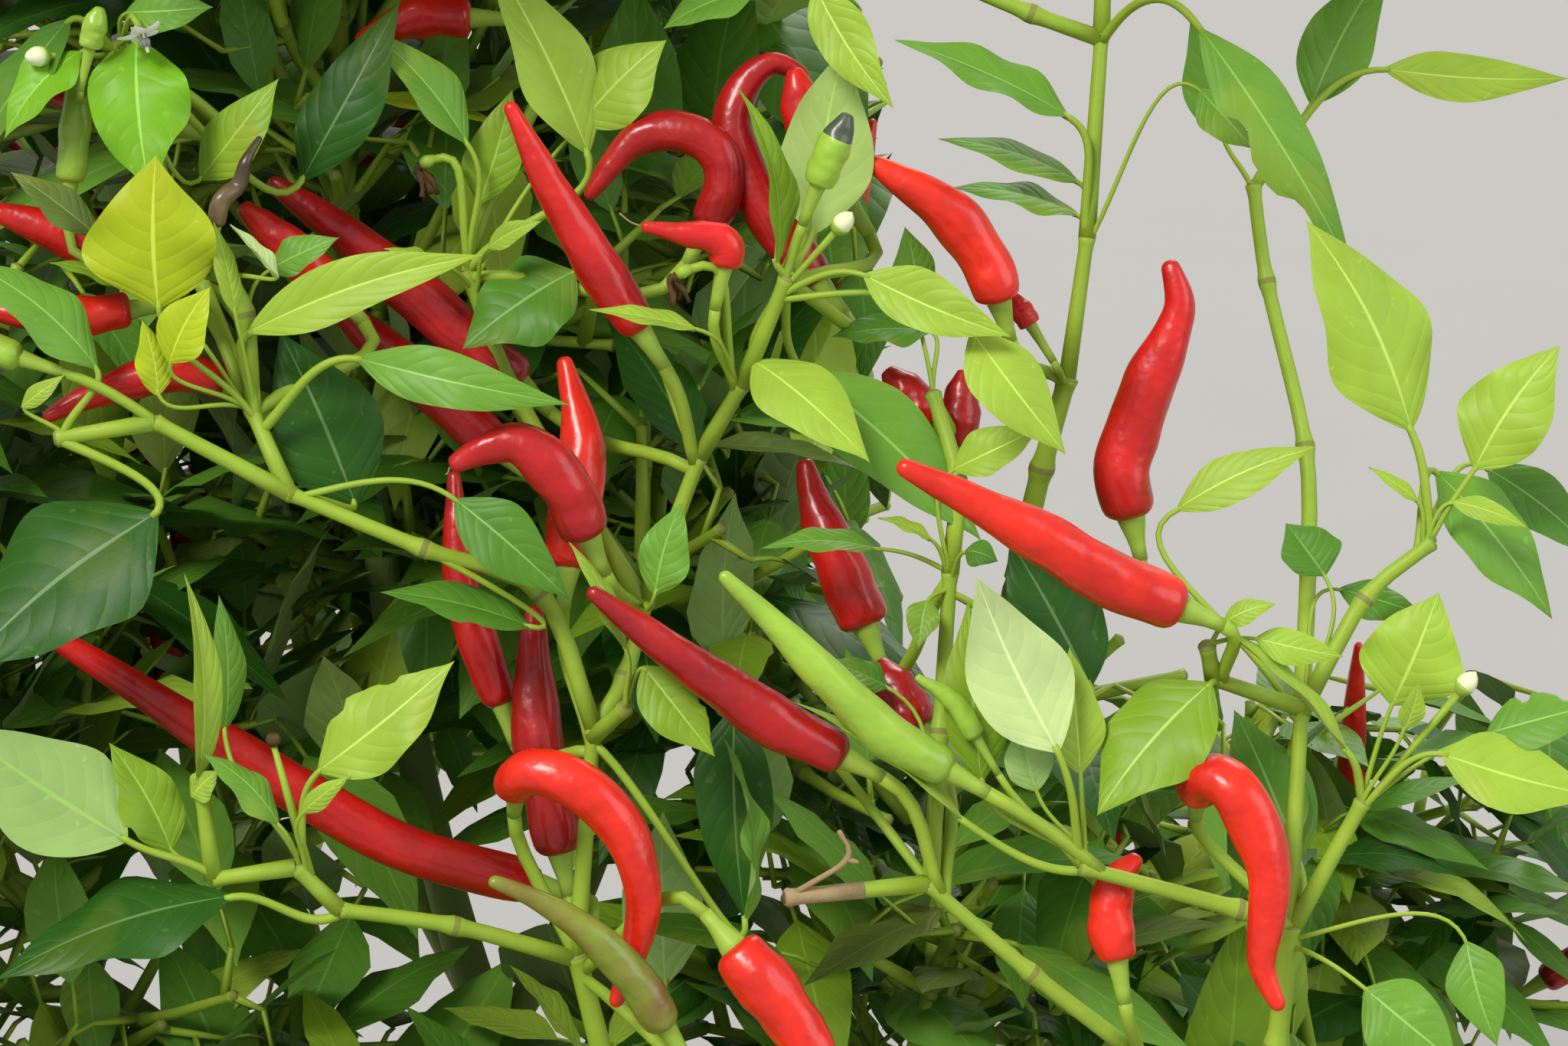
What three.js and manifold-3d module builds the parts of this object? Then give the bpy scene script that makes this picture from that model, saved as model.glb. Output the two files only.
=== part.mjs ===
// A chilli pepper plant rooted in the ground: a short woody trunk that forks into boughs, and a
// crown of green shoots with leaves and upright red pods. Millimetres, +Z up, and the origin is at
// the flat cut under the trunk. The plant's front faces -Y.
//
// The crown has two kinds of shoot. The large leaves and pods of the front shoots have places of
// their own, as a viewer sees them. All other shoots grow by one seeded rule, each mass of them
// inside its own space.
import * as THREE from "three";
import { mergeVertices } from "three/addons/utils/BufferGeometryUtils.js";
import Module from "manifold-3d";

const wasm = await Module();
wasm.setup();

// The front view: its middle, how far it looks down, and how far away the viewer stands
const VIEW_MIDDLE = new THREE.Vector3(0, -100, 425);
const VIEW_TILT = THREE.MathUtils.degToRad(20);
const VIEW_DISTANCE = 700;
const VIEW_HALF_WIDTH = 150;
const VIEW_HALF_HEIGHT = 108;
const VIEW_RIGHT = new THREE.Vector3(1, 0, 0);
const VIEW_UP = new THREE.Vector3(0, Math.sin(VIEW_TILT), Math.cos(VIEW_TILT));
const TO_VIEWER = new THREE.Vector3(0, -Math.cos(VIEW_TILT), Math.sin(VIEW_TILT));
const UP = new THREE.Vector3(0, 0, 1);

// Where grown shoots keep away: nearer than this depth in the view, right of and above these two
// lines, where the plant is open, and along the view's right edge down to a depth of its own
const FRONT_DEPTH = -48;
const OPEN_RIGHT = 22;
const OPEN_UP = -22;
const EDGE_RIGHT = 98;
const EDGE_DEPTH = -190;

// Sizes of the wood
const SEAT_GAP = 0.3;
const TRUNK_SIDES = 12;
const TRUNK_STEPS = 9;
const TRUNK_FOOT = new THREE.Vector3(-0.6, -0.2, -6);
const TRUNK_LEAN = new THREE.Vector3(9, 3, 96);
const TRUNK_TOP = new THREE.Vector3(-4, -6, 197);
const TRUNK_RADIUS = 8.6;
const TRUNK_TAPER = 1.4;
const FLARE_RADIUS = 4.6;
const FLARE_SHARE = 0.09;
const BOUGH_SIDES = 6;
const BOUGH_STEPS = 5;

// Sizes of the shoots
const TWIG_SIDES = 3;
const STEM_RADIUS = 2.8;
const TWIG_RADIUS = 1.9;
const TWIG_ROOT_RADIUS = 1.2;
const ROOT_RADIUS = 0.7;
const PETIOLE_RADIUS = 1;
const INTERNODE = 30;
const TWIG_INTERNODE = 27;
const ZIGZAG = 0.3;
const LIFT = 0.17;
const GOLDEN_TURN = 2.4;
const LEAF_LENGTHS = [50, 70];
const LEAF_PROPORTION = 0.48;
const LEAF_THICKNESS = 0.02;
const WIDEST_AT = 0.4;
const SPRAY_WIDEST_AT = 0.3;
const PETIOLE_SHARE = 0.36;
const POD_SIDES = 5;
const POD_LENGTHS = [42, 60];
const POD_GIRTHS = [7.6, 9.4];
const PEDICEL_LENGTH = 24;
const PEDICEL_RADIUS = 1.3;
const LOWEST_LEAF = 150;
const LEAF_STEP = 2.6;
const TWIG_STEP = 4.8;
const CLEARANCE = 0.6;
const BRANCHES = 4;
const BRANCH_REACH = 0.8;
const BRANCH_TWIGS = 3;

// A point of the front view, in millimetres right of and above its middle and nearer than it, as a
// place in the plant's own frame.
function seen([right, up, near]) {
  const spread = (VIEW_DISTANCE - near) / VIEW_DISTANCE;
  return VIEW_MIDDLE.clone()
    .addScaledVector(VIEW_RIGHT, right * spread)
    .addScaledVector(VIEW_UP, up * spread)
    .addScaledVector(TO_VIEWER, near);
}

// The other way: where a place is in the front view.
function inView(place) {
  const offset = place.clone().sub(VIEW_MIDDLE);
  const near = offset.dot(TO_VIEWER);
  const spread = (VIEW_DISTANCE - near) / VIEW_DISTANCE;
  return [offset.dot(VIEW_RIGHT) / spread, offset.dot(VIEW_UP) / spread, near];
}

// Numbers between two limits, the same ones for the same seed.
function dice(seed) {
  let state = seed;
  return (low, high) => {
    state = (state * 16807) % 2147483647;
    return low + ((high - low) * state) / 2147483647;
  };
}

// A direction square to another.
function squareTo(direction) {
  const axis = Math.abs(direction.z) < 0.9 ? UP : VIEW_RIGHT;
  return new THREE.Vector3().crossVectors(direction, axis).normalize();
}

// A direction that spreads away from a heading, turned round it.
function aside(heading, turn, spread) {
  const first = squareTo(heading);
  const second = new THREE.Vector3().crossVectors(heading, first);
  return heading
    .clone()
    .multiplyScalar(Math.cos(spread))
    .addScaledVector(first, Math.sin(spread) * Math.cos(turn))
    .addScaledVector(second, Math.sin(spread) * Math.sin(turn));
}

// A closed mesh as a solid. Faces that have shrunk to nothing, as at a tip, are left out.
function solidOf(shape) {
  shape.deleteAttribute("normal");
  shape.deleteAttribute("uv");
  const merged = mergeVertices(shape, 1e-3);
  const corners = merged.index.array;
  const kept = [];
  for (let i = 0; i < corners.length; i += 3) {
    const [a, b, c] = corners.slice(i, i + 3);
    if (a !== b && b !== c && c !== a) kept.push(a, b, c);
  }
  const vertProperties = merged.attributes.position.array;
  const triVerts = new Uint32Array(kept);
  return new wasm.Manifold(new wasm.Mesh({ numProp: 3, vertProperties, triVerts }));
}

// A closed body through stations {at, wide, thick}. One edge of it is turned towards facing.
function sweep(stations, sides, facing) {
  const last = stations.length - 1;
  const rings = stations.map((station, i) => {
    const before = stations[Math.max(i - 1, 0)].at;
    const along = stations[Math.min(i + 1, last)].at.clone().sub(before).normalize();
    const across = new THREE.Vector3().crossVectors(along, facing).normalize();
    const ridge = new THREE.Vector3().crossVectors(across, along);
    return { ...station, across, ridge };
  });
  const shape = new THREE.CylinderGeometry(1, 1, 1, sides, last);
  const position = shape.attributes.position;
  for (let i = 0; i < position.count; i++) {
    const { at, wide, thick, across, ridge } = rings[Math.round((position.getY(i) + 0.5) * last)];
    const place = at
      .clone()
      .addScaledVector(across, position.getX(i) * wide)
      .addScaledVector(ridge, position.getZ(i) * thick);
    position.setXYZ(i, place.x, place.y, place.z);
  }
  return solidOf(shape);
}

// A round body through places, with a radius at each.
function roundBody(places, radii, sides) {
  const stations = places.map((at, i) => ({ at, wide: radii[i], thick: radii[i] }));
  const direction = places.at(-1).clone().sub(places[0]).normalize();
  return sweep(stations, sides, squareTo(direction));
}

// A limb along a curve. Its radius is a function of the share of its length, and a margin makes
// the whole of it larger, for cutting its neighbours clear of it.
function limbBody({ curve, radiusAt, sides, steps }, margin = 0) {
  const shares = Array.from({ length: steps + 1 }, (_, i) => i / steps);
  const places = shares.map((share) => curve.getPoint(share));
  places.at(-1).addScaledVector(curve.getTangent(1), margin);
  const radii = shares.map((share) => radiusAt(share) + margin);
  return roundBody(places, radii, sides);
}

// A twig that is straight from node to node. Its root is slim enough to sink into what carries it.
function twigBody(nodes, radius, rootRadius) {
  const radii = nodes.map((_, i) => (i === 0 ? rootRadius : radius));
  return roundBody(nodes, radii, TWIG_SIDES);
}

// Points all over a leaf, to tell whether it keeps to its space.
function leafPoints({ node, base, tip, width, facing }) {
  const across = tip.clone().sub(base).cross(facing).setLength(width / 2);
  const widest = base.clone().lerp(tip, WIDEST_AT);
  return [
    base.clone().lerp(node, 0.4),
    base,
    widest.clone().add(across),
    widest.clone().sub(across),
    base.clone().lerp(tip, 0.7),
    tip,
  ];
}

// A leaf on its stalk: a flat blade with a keel under it, arched a little from base to tip.
function leafBody({ node, base, tip, width, facing }) {
  const length = base.distanceTo(tip);
  const thickness = Math.max(length * LEAF_THICKNESS, 0.8);
  const widest = base.clone().lerp(tip, WIDEST_AT).addScaledVector(facing, length * 0.07);
  const stations = [
    { at: node, wide: ROOT_RADIUS, thick: ROOT_RADIUS },
    { at: base, wide: PETIOLE_RADIUS, thick: PETIOLE_RADIUS },
    { at: widest, wide: width / Math.sqrt(3), thick: thickness },
    { at: tip, wide: 0, thick: 0 },
  ];
  return sweep(stations, TWIG_SIDES, facing.clone().negate());
}

// A leaf of a grown shoot stands for a small spray, so its blade starts at the twig.
function sprayBody({ node, base, tip, width, facing }) {
  const length = node.distanceTo(tip);
  const widest = base.clone().lerp(tip, SPRAY_WIDEST_AT).addScaledVector(facing, length * 0.05);
  const stations = [
    { at: node, wide: ROOT_RADIUS, thick: ROOT_RADIUS },
    { at: widest, wide: width / Math.sqrt(3), thick: length * LEAF_THICKNESS },
    { at: tip, wide: 0, thick: 0 },
  ];
  return sweep(stations, TWIG_SIDES, facing.clone().negate());
}

// How thick a pod is at a share of its length, next to its greatest thickness.
function podSwell(share) {
  return Math.min(1, 0.78 + 2 * share) * Math.pow(1 - Math.pow(share, 2.6), 0.75);
}

// The line of a pod from calyx to tip, by way of the places at a third and two thirds of it.
function podCurve({ calyx, byThird, byTwoThirds, tip }) {
  const handle = (near, far, end, otherEnd) =>
    near
      .clone()
      .multiplyScalar(3)
      .addScaledVector(far, -1.5)
      .addScaledVector(end, -5 / 6)
      .addScaledVector(otherEnd, 1 / 3);
  return new THREE.CubicBezierCurve3(
    calyx,
    handle(byThird, byTwoThirds, calyx, tip),
    handle(byTwoThirds, byThird, tip, calyx),
    tip,
  );
}

// A pod on its stalk in one body. A bent pod takes more rings than a straight one.
function podBody(pod) {
  const curve = podCurve(pod);
  const bent = curve.getLength() > pod.calyx.distanceTo(pod.tip) * 1.04;
  const rings = bent ? 7 : 4;
  const stalkEnd = pod.calyx.clone().addScaledVector(curve.getTangent(0), -3);
  const places = [pod.node, stalkEnd];
  const radii = [ROOT_RADIUS, PEDICEL_RADIUS];
  for (let i = 0; i <= rings; i++) {
    const share = Math.pow(i / rings, 0.85);
    places.push(curve.getPoint(share));
    radii.push((pod.girth / 2) * podSwell(share));
  }
  return roundBody(places, radii, POD_SIDES);
}

// A stem or twig that grows on from a place: straight stretches that swing from side to side and
// lift towards the light.
function walk(start, heading, count, step, roll) {
  const nodes = [start.clone()];
  const direction = heading.clone().normalize();
  const side = squareTo(direction);
  for (let i = 1; i <= count; i++) {
    const swing = (i % 2 ? ZIGZAG : -ZIGZAG) * roll(0.6, 1.2);
    direction.addScaledVector(side, swing).addScaledVector(UP, LIFT).normalize();
    nodes.push(nodes[i - 1].clone().addScaledVector(direction, step * roll(0.85, 1.15)));
  }
  return nodes;
}

// The heading of a twig at one of its nodes.
function headingAt(nodes, i) {
  const from = nodes[Math.max(i - 1, 0)];
  const to = nodes[Math.max(i, 1)];
  return to.clone().sub(from).normalize();
}

// Where one of the things that share a node grows out: each a little further back than the last.
function socket(nodes, i, order, step = LEAF_STEP) {
  return nodes[i].clone().addScaledVector(headingAt(nodes, i), -step * (order + 0.5));
}

// A leaf that grows out of a node.
function grownLeaf(node, heading, turn, roll) {
  const outward = aside(heading, turn, 1);
  const length = roll(...LEAF_LENGTHS);
  const base = node.clone().addScaledVector(outward, length * PETIOLE_SHARE * roll(0.8, 1.2));
  const along = outward.clone().addScaledVector(UP, roll(-0.7, 0.2)).normalize();
  const tip = base.clone().addScaledVector(along, length);
  const width = length * LEAF_PROPORTION * roll(0.85, 1.15);
  const facing = UP.clone().addScaledVector(outward, 0.4);
  facing.addScaledVector(along, -facing.dot(along)).normalize();
  return { node, base, tip, width, facing };
}

// A pod that grows out of a node and stands up.
function grownPod(node, heading, turn, roll) {
  const outward = aside(heading, turn, 0.9);
  const stalk = outward.clone().addScaledVector(UP, 0.7).normalize();
  const calyx = node.clone().addScaledVector(stalk, PEDICEL_LENGTH * roll(0.8, 1.2));
  const lean = UP.clone().addScaledVector(outward, roll(0.1, 0.9)).normalize();
  const length = roll(...POD_LENGTHS);
  const tip = calyx.clone().addScaledVector(lean, length);
  const bow = squareTo(lean).multiplyScalar(length * roll(-0.07, 0.07));
  const byThird = calyx.clone().lerp(tip, 1 / 3).add(bow);
  const byTwoThirds = calyx.clone().lerp(tip, 2 / 3).add(bow);
  return { node, calyx, tip, byThird, byTwoThirds, girth: roll(...POD_GIRTHS) };
}

// A shoot that grows by the seeded rule: a stem, side twigs round each of its nodes, and leaves and
// pods at the twigs' own nodes. Each twig rolls dice of its own, so one that is skipped changes
// nothing for the rest.
function grownShoot({ seed, start, heading, stemNodes, twigsPerNode, twigNodes, podShare }) {
  const stemRoll = dice(seed);
  const stem = walk(start, heading, stemNodes, INTERNODE, stemRoll);
  const parts = [{ nodes: stem }];
  let turn = stemRoll(0, 2 * Math.PI);
  for (let i = 1; i <= stemNodes; i++) {
    for (let k = 0; k < twigsPerNode; k++) {
      const roll = dice(seed * 64 + i * 8 + k);
      turn += GOLDEN_TURN;
      const twigHeading = aside(headingAt(stem, i), turn, roll(0.8, 1.15));
      const count = twigNodes + (roll(0, 1) > 0.5 ? 1 : 0);
      const nodes = walk(socket(stem, i, k, TWIG_STEP), twigHeading, count, TWIG_INTERNODE, roll);
      const twig = { at: i, nodes, leaves: [], pods: [] };
      for (let j = 1; j <= count; j++) {
        const heading = headingAt(nodes, j);
        const leavesHere = j === count ? 3 : 2;
        for (let m = 0; m < leavesHere; m++) {
          const around = turn + (j + m) * GOLDEN_TURN;
          twig.leaves.push({ index: j, ...grownLeaf(socket(nodes, j, m), heading, around, roll) });
        }
        const pod = grownPod(socket(nodes, j, leavesHere), heading, turn + j * GOLDEN_TURN + Math.PI, roll);
        if (roll(0, 1) < podShare) twig.pods.push({ index: j, ...pod });
      }
      parts.push(twig);
    }
  }
  return parts;
}

// The boughs. Each leaves the one that carries it at a share of that one's length, runs by way of a
// bend to its tip, and tapers between two radii.
const WOOD_PLAN = [
  ["bough_front", "trunk", 0.9, [0, -42, 204], [4, -74, 248], 6.4, 5],
  ["bough_left", "trunk", 0.93, [-40, 2, 212], [-66, 12, 264], 6.2, 5],
  ["bough_right", "trunk", 0.96, [24, 14, 216], [40, 18, 268], 6, 4.8],
  ["bough_right_front", "bough_front", 1, [24, -118, 268], [86, -128, 306], 4.6, 3.2],
  ["bough_left_front", "bough_front", 0.75, [-16, -98, 244], [-31, -116, 311], 4.2, 3.2],
  ["bough_low_front", "bough_front", 0.5, [-30, -62, 205], [-58, -88, 224], 3.8, 3],
  ["bough_left_top", "bough_left", 1, [-84, 18, 320], [-88, 4, 412], 4.8, 3.2],
  ["bough_left_low", "bough_left", 0.6, [-96, -10, 238], [-146, -34, 300], 4.4, 3.2],
  ["bough_left_back", "bough_left", 0.8, [-78, 56, 262], [-112, 84, 316], 4.4, 3.2],
  ["bough_heart", "bough_left", 0.97, [-44, 26, 286], [-34, 18, 330], 3.8, 3],
  ["bough_upper_right", "bough_right", 1, [50, 10, 320], [45, -60, 399], 4.6, 3],
  ["bough_right_back", "bough_right", 0.75, [50, 62, 232], [84, 84, 252], 4, 3],
  ["bough_right_side", "bough_right", 0.5, [66, -14, 216], [116, -50, 232], 4, 3],
  ["bough_back", "bough_right", 0.93, [22, 60, 282], [-4, 92, 318], 4, 3],
  ["bough_centre", "bough_front", 0.3, [34, -40, 214], [32, -36, 250], 3.8, 3],
];

// The masses that grow by the rule: the bough that carries each, the middle of its space, the
// space's half size each way, the stem's nodes, the twigs at each, and the share of pods.
const GROWN_PLAN = [
  ["leaves_left_top", "bough_left_top", [-92, 16, 502], [128, 124, 118], 5, 5, 0.3],
  ["leaves_left_low", "bough_left_low", [-172, -50, 350], [112, 116, 116], 5, 6, 0.3],
  ["leaves_left_back", "bough_left_back", [-134, 116, 372], [124, 112, 118], 5, 6, 0.3],
  ["leaves_heart", "bough_heart", [-30, 36, 386], [112, 110, 92], 4, 7, 0.3],
  ["leaves_back", "bough_back", [-8, 146, 372], [124, 108, 116], 5, 6, 0.3],
  ["leaves_right_back", "bough_right_back", [112, 120, 276], [120, 116, 104], 5, 6, 0.3],
  ["leaves_right_side", "bough_right_side", [150, -70, 256], [108, 112, 92], 4, 6, 0.3],
  ["leaves_low_front", "bough_low_front", [-84, -104, 250], [118, 100, 96], 4, 6, 0.3],
  ["leaves_centre", "bough_centre", [34, -34, 312], [92, 84, 84], 3, 6, 0.3],
];

// The front shoots. A stem runs from a named node through its points to a node with its own name.
// A leaf is [node, blade base, tip, width, turn in degrees about its length]. A pod is
// [node, calyx, tip, girth], and a bent one also has its places at a third and two thirds.
const FRONT_SHOOTS = {
  leaves_left_front: {
    carrier: "bough_left_front",
    stems: [
      ["root", "low", [-37.9, -78.3, -14]],
      ["low", "fork", [-34.7, -36.9, -8]],
      ["fork", "far", [-44.3, -12.9, -6], [-65.7, -4.7, 0], [-90.7, 5.6, 2]],
      ["far", "cluster", [-97.1, 21, -2]],
      ["far", "edge", [-114.3, 17.4, 5], [-133, 15.3, 6]],
      ["low", "corner", [-60, -74, -6], [-81.4, -70.4, 0], [-89.3, -63, 3]],
      ["fork", "inner", [-29, -28, -16], [-25, -13.6, -18]],
      ["inner", "middle", [-15.3, 12.4, -14]],
      ["middle", "crest", [-5.7, 26.4, -8], [0.7, 45, 0]],
    ],
    leaves: [
      ["edge", [-114, 2, 6], [-150, -26, 12], 27, 15],
      ["cluster", [-97, 31, 2], [-54.7, 48.9, 8], 12, 30],
      ["cluster", [-112, 35, 8], [-116, 66, 14], 22, 5],
      ["far", [-60, 4.4, 4], [-39, -14, 6], 13, 20],
      ["far", [-46, -19, -2], [-73.7, -12.6, 4], 13, 20],
      ["corner", [-104.3, -68, 6], [-146, -83.3, 14], 14, 35],
      ["corner", [-116, -60, 10], [-147, -36, 14], 22, 170],
      ["corner", [-85, -45.4, 8], [-60, -25.1, 12], 14, 10],
      ["corner", [-107, -47.6, 9], [-109.3, -9, 12], 8, 50],
      ["middle", [-38, 46, -24], [-58.6, 31.7, -20], 19, 0],
      ["middle", [-36, 68, -26], [-52, 92, -22], 16, 10],
      ["crest", [-5.7, 29.6, -6], [15.7, 11, 8], 15, 0],
      ["crest", [2.9, 28.1, -14], [36, -3.3, -13], 18, 0],
      ["crest", [5, 52.4, -5], [14, 88, -9], 18, 175],
      ["crest", [14.3, 45.3, 6], [41.4, 33.9, 12], 12, 25],
    ],
    pods: [
      ["fork", [-38.6, -8.3, -16], [-40.7, 30.3, -22], 8.6],
      ["inner", [-33.6, -3.3, 0], [-60.7, 9.6, 6], 8.2, [-42.9, 9.6, 4], [-50, 14.6, 5]],
      ["middle", [-26.1, 35, -4], [-50.3, 76.7, 4], 7],
      ["crest", [-10.7, 47.4, 4], [-25.7, 54.1, 8], 6.6],
      ["low", [-44.3, -66.1, -28], [-134.3, -20.4, -22], 8.8, [-74.3, -56.9, -26], [-104.3, -39, -24]],
      ["low", [-51.4, -50.4, 10], [-30.7, -87.6, 12], 8.6, [-37, -45.4, 12], [-23.6, -66, 12]],
      ["low", [-21.4, -91.9, 8], [-53.6, -65.4, 16], 6.4],
      ["cluster", [-102, 27, -10], [-135.7, 19.6, -4], 8],
      ["cluster", [-114, 46, -14], [-147, 57, -8], 8.4],
      ["middle", [-48, 25, -34], [-94, 61.7, -30], 8.2],
    ],
  },
  leaves_right_front: {
    carrier: "bough_right_front",
    stems: [
      ["root", "low", [62.9, -95.3, -16], [25.7, -65.4, -4]],
      ["low", "dry", [0, -68.3, 4]],
      ["low", "spire", [28.4, -38, -12], [30.3, -8.7, -12]],
      ["root", "joint", [89.7, -95.3, -8], [92.1, -73, -4]],
      ["joint", "middle", [82.9, -70.4, -2], [53.6, -62.6, 2]],
      ["joint", "upper", [94.3, -33.3, -8]],
      ["upper", "inner", [77.9, -28.3, 0]],
      ["upper", "edge", [105.7, -14, -10], [118.3, -3.3, -10]],
      ["joint", "outer", [105.7, -50.4, 0]],
    ],
    leaves: [
      ["middle", [50, -41.9, 12], [35, -9.7, 16], 19, 170],
      ["middle", [54, -46, 4], [52, -22.6, 4], 11, 10],
      ["middle", [30, -52, 0], [-2, -29, 2], 8, 40],
      ["inner", [77.9, -29, 4], [57, -53.3, 8], 19, 5],
      ["inner", [85.7, -22.6, 4], [102, -24.4, 6], 7, 20],
      ["outer", [103, -42, 4], [77, -17.6, 8], 9, 30],
      ["edge", [114.3, 16.7, -8], [95, 55.3, -6], 22, 0],
      ["edge", [125.7, 9.6, -8], [141.4, 32.4, -6], 17, 5],
      ["outer", [110.7, -33.3, 2], [119.3, -12.6, 4], 19, 5],
      ["outer", [127.9, -38.5, 2], [148.6, -34, 4], 11, 0],
      ["joint", [124.3, -76.1, 0], [130, -95.3, 2], 10, 20],
      ["upper", [92, -42, -24], [82, -70, -26], 15, 0],
      ["low", [-9, -33, -22], [-7, -73, -24], 15, 20],
    ],
    pods: [
      ["low", [12.1, -44, 4], [-36, -11.6, 12], 8],
      ["dry", [-9.3, -76.9, 6], [11.4, -104, 8], 10],
      ["joint", [75, -53, 8], [90.7, -88.3, 10], 9, [80, -43, 9], [88.8, -61.5, 10]],
      ["middle", [30.4, -45.4, 8], [-12.1, -9, 12], 6.6],
      ["inner", [73.1, -15.4, 12], [21, 11, 22], 9],
      ["low", [60.7, -79.7, -6], [64.3, -61, -6], 8.4],
      ["spire", [15, -19, -32], [3.6, 11, -36], 8.2],
    ],
  },
  leaves_upper_right: {
    carrier: "bough_upper_right",
    stems: [
      ["root", "knot", [47, 10, -38], [51.7, 26.7, -34]],
      ["knot", "high", [55.3, 52.4, -33]],
      ["high", "top", [57.9, 90.3, -33], [58.5, 112, -36]],
      ["knot", "haze", [88, 30, -52], [92, 50, -55]],
    ],
    leaves: [
      ["high", [52.1, 73.9, -28], [20, 88.1, -24], 13, 15],
      ["high", [75.7, 78.9, -24], [85.7, 68, -24], 10, 10],
      ["top", [72.9, 92.4, -12], [103.6, 46.7, -16], 15, 10],
      ["haze", [96, 76, -56], [110, 102, -58], 15, 0],
      ["haze", [109, 82.7, -54], [143, 81, -54], 10, 30],
    ],
    pods: [
      ["root", [62.9, 1.7, -16], [70.7, 47.4, -10], 8.8, [62.4, 16.5, -14], [66, 32, -12]],
      ["knot", [39.7, 40.7, -16], [16.1, 65.7, -10], 8.2],
    ],
  },
};

// The shoot that grows on above the view, from the top of the right-hand front shoot
const TOP_SHOOT = {
  seed: 311,
  node: "top",
  heading: new THREE.Vector3(0.1, 0.25, 1),
  stemNodes: 1,
  twigsPerNode: 5,
  twigNodes: 1,
  podShare: 0.3,
};

// The limbs as curves with a radius: the trunk flares at the ground, leans, and narrows where the
// boughs leave it.
const limbs = new Map();
limbs.set("trunk", {
  curve: new THREE.QuadraticBezierCurve3(TRUNK_FOOT, TRUNK_LEAN, TRUNK_TOP),
  radiusAt: (share) =>
    TRUNK_RADIUS - TRUNK_TAPER * share + FLARE_RADIUS * Math.exp(-share / FLARE_SHARE),
  sides: TRUNK_SIDES,
  steps: TRUNK_STEPS,
});
for (const [name, carrier, share, bend, tip, radius, tipRadius] of WOOD_PLAN) {
  const start = limbs.get(carrier).curve.getPoint(share);
  const curve = new THREE.QuadraticBezierCurve3(
    start,
    new THREE.Vector3(...bend),
    new THREE.Vector3(...tip),
  );
  const radiusAt = (along) => THREE.MathUtils.lerp(radius, tipRadius, along);
  limbs.set(name, { curve, radiusAt, sides: BOUGH_SIDES, steps: BOUGH_STEPS });
}

// The one piece of a solid that matters: loose scraps and sealed hollows are dropped.
function largest(solid) {
  const pieces = solid.decompose();
  return pieces.reduce((best, piece) => (piece.volume() > best.volume() ? piece : best));
}

// What lies below the ground, to cut the trunk level
const GROUND_SIZE = 80;
const ground = solidOf(
  new THREE.BoxGeometry(GROUND_SIZE, GROUND_SIZE, GROUND_SIZE).translate(0, 0, -GROUND_SIZE / 2),
);

// The wood: each limb is cut clear of the ones before it.
const wood = new Map();
let fatWood = limbBody(limbs.get("trunk"), SEAT_GAP);
wood.set("trunk", limbBody(limbs.get("trunk")).subtract(ground));
for (const [name] of WOOD_PLAN) {
  wood.set(name, largest(limbBody(limbs.get(name)).subtract(fatWood)));
  fatWood = fatWood.add(limbBody(limbs.get(name), SEAT_GAP));
}

// The space of each grown mass
const spaces = GROWN_PLAN.map(([, , middle, half]) => ({
  middle: new THREE.Vector3(...middle),
  half: new THREE.Vector3(...half),
}));

// Whether a place is behind the front shoots, and not in the open side of the crown.
function inBackground(place) {
  const [right, up, near] = inView(place);
  const inFrame = Math.abs(right) < VIEW_HALF_WIDTH && Math.abs(up) < VIEW_HALF_HEIGHT;
  const inFront = inFrame && near > FRONT_DEPTH;
  const inOpen = right > OPEN_RIGHT && up > OPEN_UP;
  const atEdge = inFrame && right > EDGE_RIGHT && near > EDGE_DEPTH;
  return !inFront && !inOpen && !atEdge;
}

// Whether a place belongs to a mass: inside its space and behind the front shoots.
function inSpace({ middle, half }, place) {
  const offset = place.clone().sub(middle).divide(half);
  return offset.length() < 1 && place.z > LOWEST_LEAF && inBackground(place);
}

// Everything that is built so far, and the stems of the masses that come later: what a new leaf,
// twig or pod has to stay clear of
let built = fatWood;
let laterStems = [];

// As much of a line of nodes as lies inside a space.
function inside(nodes, belongs) {
  const outside = nodes.findIndex((node, i) => i > 0 && !belongs(node));
  return outside < 0 ? nodes : nodes.slice(0, outside);
}

// Whether a body keeps clear of all that is built and of some others.
function isClear(body, others) {
  return (
    body.minGap(built, CLEARANCE) >= CLEARANCE &&
    laterStems.every((stem) => body.minGap(stem, CLEARANCE) >= CLEARANCE) &&
    others.every((other) => body.intersect(other).isEmpty())
  );
}

// The twigs of a grown shoot with their leaves and pods, as far as they keep to their space and
// touch nothing else. A twig that would be left bare is skipped too.
function twigBodies(twigs, belongs, grown, otherStems) {
  for (const { nodes, leaves, pods } of twigs) {
    const kept = inside(nodes, belongs);
    if (kept.length < 2) continue;
    const twig = twigBody(kept, TWIG_RADIUS, TWIG_ROOT_RADIUS);
    if (!isClear(twig, [...grown, ...otherStems])) continue;
    const candidates = [
      ...leaves.filter((leaf) => leaf.index < kept.length && leafPoints(leaf).every(belongs)).map(sprayBody),
      ...pods.filter((pod) => pod.index < kept.length && [pod.calyx, pod.tip].every(belongs)).map(podBody),
    ];
    const own = [];
    for (const body of candidates) {
      if (isClear(body, [...grown, ...own, ...otherStems])) own.push(body);
    }
    if (own.length > 0) grown.push(twig, ...own);
  }
}

// The bodies of a grown shoot.
function bodiesOf([stem, ...twigs], belongs) {
  const grown = [];
  twigBodies(twigs, belongs, grown, []);
  return [twigBody(stem.nodes, STEM_RADIUS, STEM_RADIUS), ...grown];
}

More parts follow.
